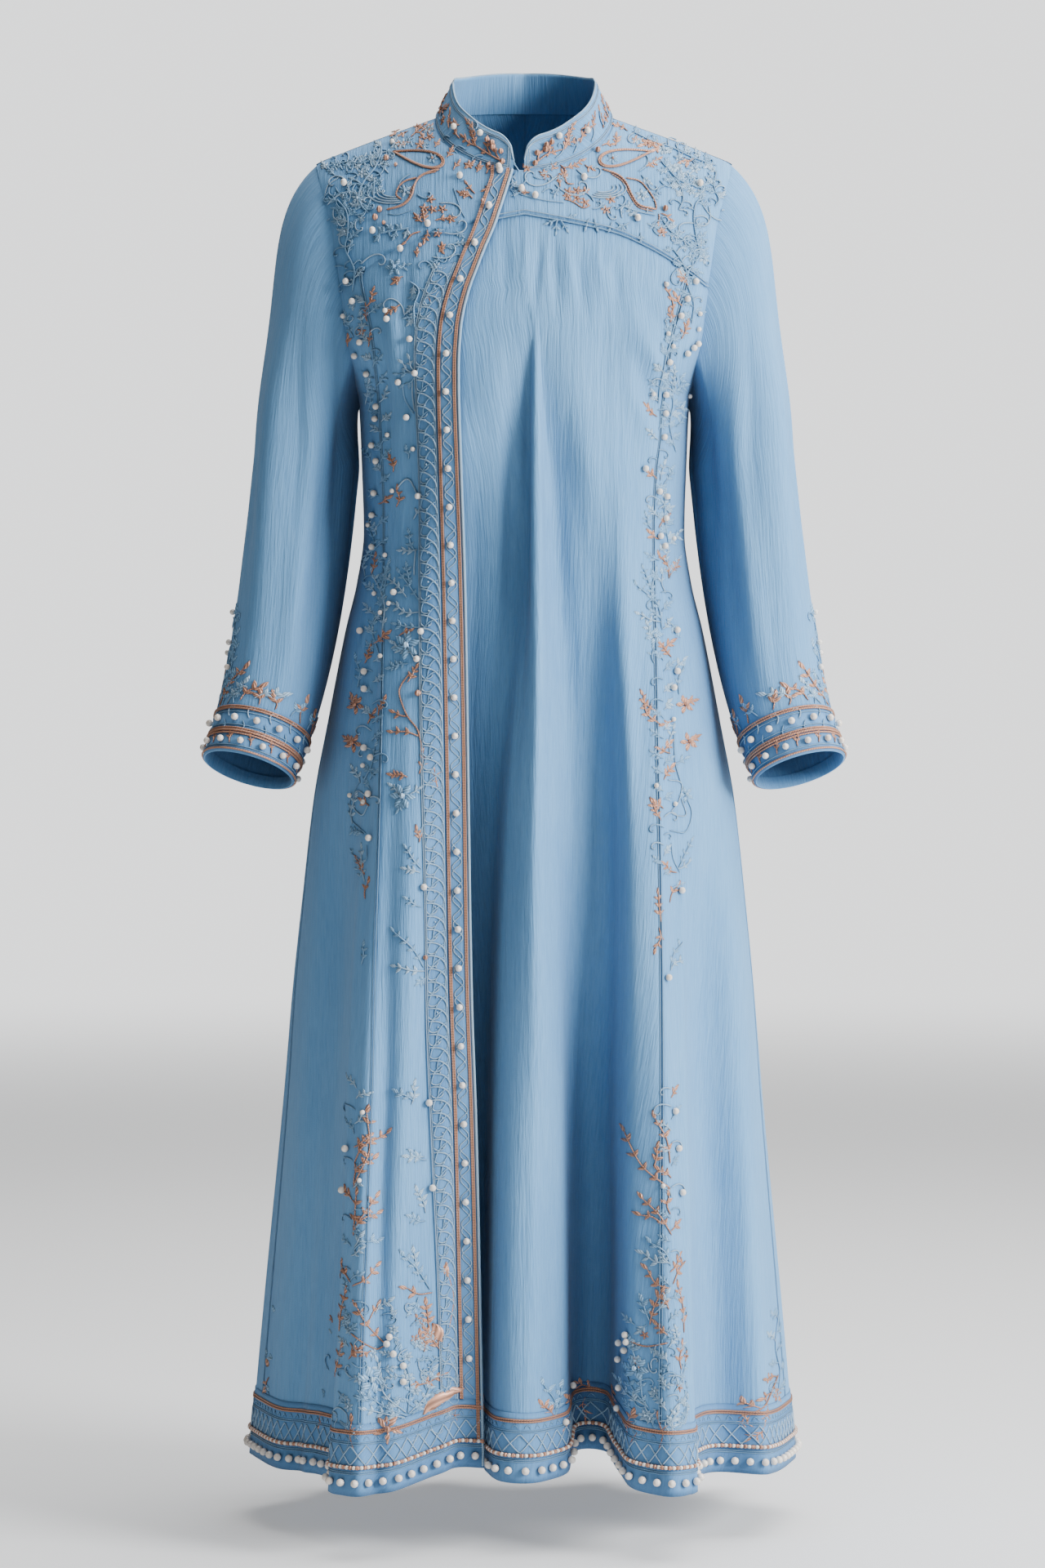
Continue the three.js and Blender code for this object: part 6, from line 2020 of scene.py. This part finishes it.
for side, name in ((1, "cuff_band_left"), (-1, "cuff_band_right")):
    place_on = on_sleeve(side)
    turn = np.linspace(0, 1, CUFF_COLUMNS) * CUFF_ROUND
    heights = np.linspace(CUFF_HEIGHT, 0.3, CUFF_ROWS)
    x, z = np.broadcast_arrays(turn[None], heights[:, None])
    points, normals, _ = place_on(x.ravel(), z.ravel())
    points, normals = (grid.reshape(CUFF_ROWS, CUFF_COLUMNS, 3) for grid in (points, normals))
    if side < 0:
        points, normals = points[:, ::-1], normals[:, ::-1]
    band_sheet(name, points, normals)
    trim = Layout(21 + side)
    around = np.linspace(0, CUFF_ROUND, 60)
    for height, tint, radius in (
        (45.6, "copper", 0.9), (43.2, "copper", 0.9), (22.4, "copper", 0.9), (20.0, "copper", 1.1),
        (17.4, "copper", 0.9), (2.2, "copper", 1.0), (39.5, "blue", 0.5), (26.0, "blue", 0.5), (6.0, "blue", 0.5),
    ):
        trim.cord(tint, np.stack([around, around * 0 + height], -1), radius)
    for x in np.arange(6, CUFF_ROUND - 4, 19.0):
        trim.bead("pearl", (x, 32.5), 3.4)
        trim.curl("pale", (x + 7, 34), 40, 6)
        trim.curl("blue", (x + 12, 31), 220, 6)
        trim.bead("pearl", (x + 8, 10.5), 3.2)
        trim.twig("copper", (x - 1, 7.5), 75, 8, pairs=1, size=4.4)
    trim.lay(name + "_trim", place_on, lift=1.0)

    # Vines from the cuff up the outer side
    vines = Layout(31 + side)
    for x, z, angle, length, tint, pairs in (
        (118, 49, 100, 62, "blue", 5), (121, 50, 78, 58, "copper", 4), (127, 49, 96, 96, "blue", 7),
        (134, 50, 60, 46, "pale", 4), (112, 50, 122, 44, "copper", 3), (106, 49, 100, 30, "blue", 3),
        (140, 50, 92, 40, "copper", 3), (146, 49, 74, 30, "blue", 3), (98, 49, 118, 26, "pale", 2),
        (154, 49, 60, 26, "copper", 2), (90, 49, 96, 16, "blue", 2), (164, 49, 84, 16, "blue", 2),
        (84, 52, 128, 22, "copper", 2), (72, 56, 150, 24, "pale", 2), (66, 50, 80, 12, "copper", 1),
        (52, 50, 70, 12, "copper", 1), (38, 50, 120, 14, "blue", 1), (26, 49, 88, 20, "copper", 1),
        (14, 49, 110, 12, "blue", 1), (4, 49, 70, 14, "copper", 1), (178, 49, 70, 16, "copper", 1),
        (192, 49, 110, 12, "blue", 1), (206, 49, 80, 14, "copper", 1), (222, 49, 100, 12, "blue", 1),
        (240, 49, 80, 14, "copper", 1),
    ):
        vines.twig(tint, (x, z), angle, length, pairs=pairs, size=8.0)
    for x, z in ((110, 92), (132, 112), (118, 118), (141, 92), (126, 148)):
        vines.bead("pearl", (x, z), 2.9)
    for x, z, angle, size in (
        (104, 64, 60, 12), (146, 66, 120, 12), (121, 96, 70, 12), (133, 78, 20, 12), (122, 132, 95, 10),
    ):
        vines.curl("blue", (x, z), angle, size, 1)
    vines.lay(name + "_vines", place_on)


# Camera, floor and lights
CAMERA_AT = (-0.0015, -3.48, -0.612)
CAMERA_LENS = 85
FLOOR_Z = -1.3
FLOOR_RADIUS = 14
FLOOR_GLOW = 0.33
FADE_FROM, FADE_TO = 3.0, 9.0
AMBIENT, BACKDROP = 0.07, 1.75
LIGHTS = (
    # name, place, target, size, watts, tint
    ("key", (2.95, -1.75, 0.5), (0, 0, -0.55), 1.7, 238, (0.97, 0.985, 1)),
    ("fill", (-1.4, -3.4, 0.5), (0, 0, -0.6), 2, 2.5, (1, 1, 1)),
    ("top", (0.9, 0.4, 3.0), (0, 0.1, -0.9), 4, 230, (1, 1, 1)),
)


def set_range(node, **limits):
    """Sets the ends of a range node."""
    for name, value in limits.items():
        node.inputs[name.replace("_", " ")].default_value = value


camera_data = bpy.data.cameras.new("camera")
camera_data.lens = CAMERA_LENS
camera_data.sensor_width = 36
camera_data.sensor_fit = "AUTO"
camera = bpy.data.objects.new("camera", camera_data)
camera.location = CAMERA_AT
camera.rotation_euler = (math.radians(90), 0, 0)
bpy.context.scene.collection.objects.link(camera)
bpy.context.scene.camera = camera

# The floor glows a little for the camera, and fades out into the backdrop
floor = Shader("floor", colour(0.8, 0.8, 0.8), 0.9, Emission_Color=colour(0.98, 0.99, 1.0))
seen = floor.node("LightPath").outputs["Is Camera Ray"]
floor.plug(floor.math("MULTIPLY", seen, FLOOR_GLOW), floor.main.inputs["Emission Strength"])
bpy.ops.mesh.primitive_circle_add(vertices=96, radius=FLOOR_RADIUS, fill_type="TRIFAN", location=(0, 0, FLOOR_Z))
floor_object = bpy.context.object
floor_object.name = "floor"
floor_object.data.materials.append(floor.material)
away = floor.node("VectorMath", operation="LENGTH")
floor.plug(floor.node("NewGeometry").outputs["Position"], away.inputs[0])
fade = floor.node("MapRange", Value=away.outputs["Value"])
set_range(fade, From_Min=FADE_FROM, From_Max=FADE_TO, To_Min=1.0, To_Max=0.0)
fade.interpolation_type = "SMOOTHSTEP"
floor.plug(fade.outputs[0], floor.main.inputs["Alpha"])

world = bpy.data.worlds.new("studio")
bpy.context.scene.world = world
world.use_nodes = True
tree = world.node_tree
background = tree.nodes["Background"]
background.inputs[0].default_value = (0.98, 0.99, 1.0, 1)
seen = tree.nodes.new("ShaderNodeLightPath")
strength = tree.nodes.new("ShaderNodeMapRange")
set_range(strength, To_Min=AMBIENT, To_Max=BACKDROP)
tree.links.new(seen.outputs["Is Camera Ray"], strength.inputs["Value"])
tree.links.new(strength.outputs[0], background.inputs[1])

for name, location, target, size, watts, tint in LIGHTS:
    light = bpy.data.lights.new(name, "AREA")
    light.shape, light.size, light.energy, light.color = "DISK", size, watts, tint
    lamp = bpy.data.objects.new(name, light)
    lamp.location = location
    lamp.rotation_euler = (Vector(target) - Vector(location)).to_track_quat("-Z", "Y").to_euler()
    bpy.context.scene.collection.objects.link(lamp)
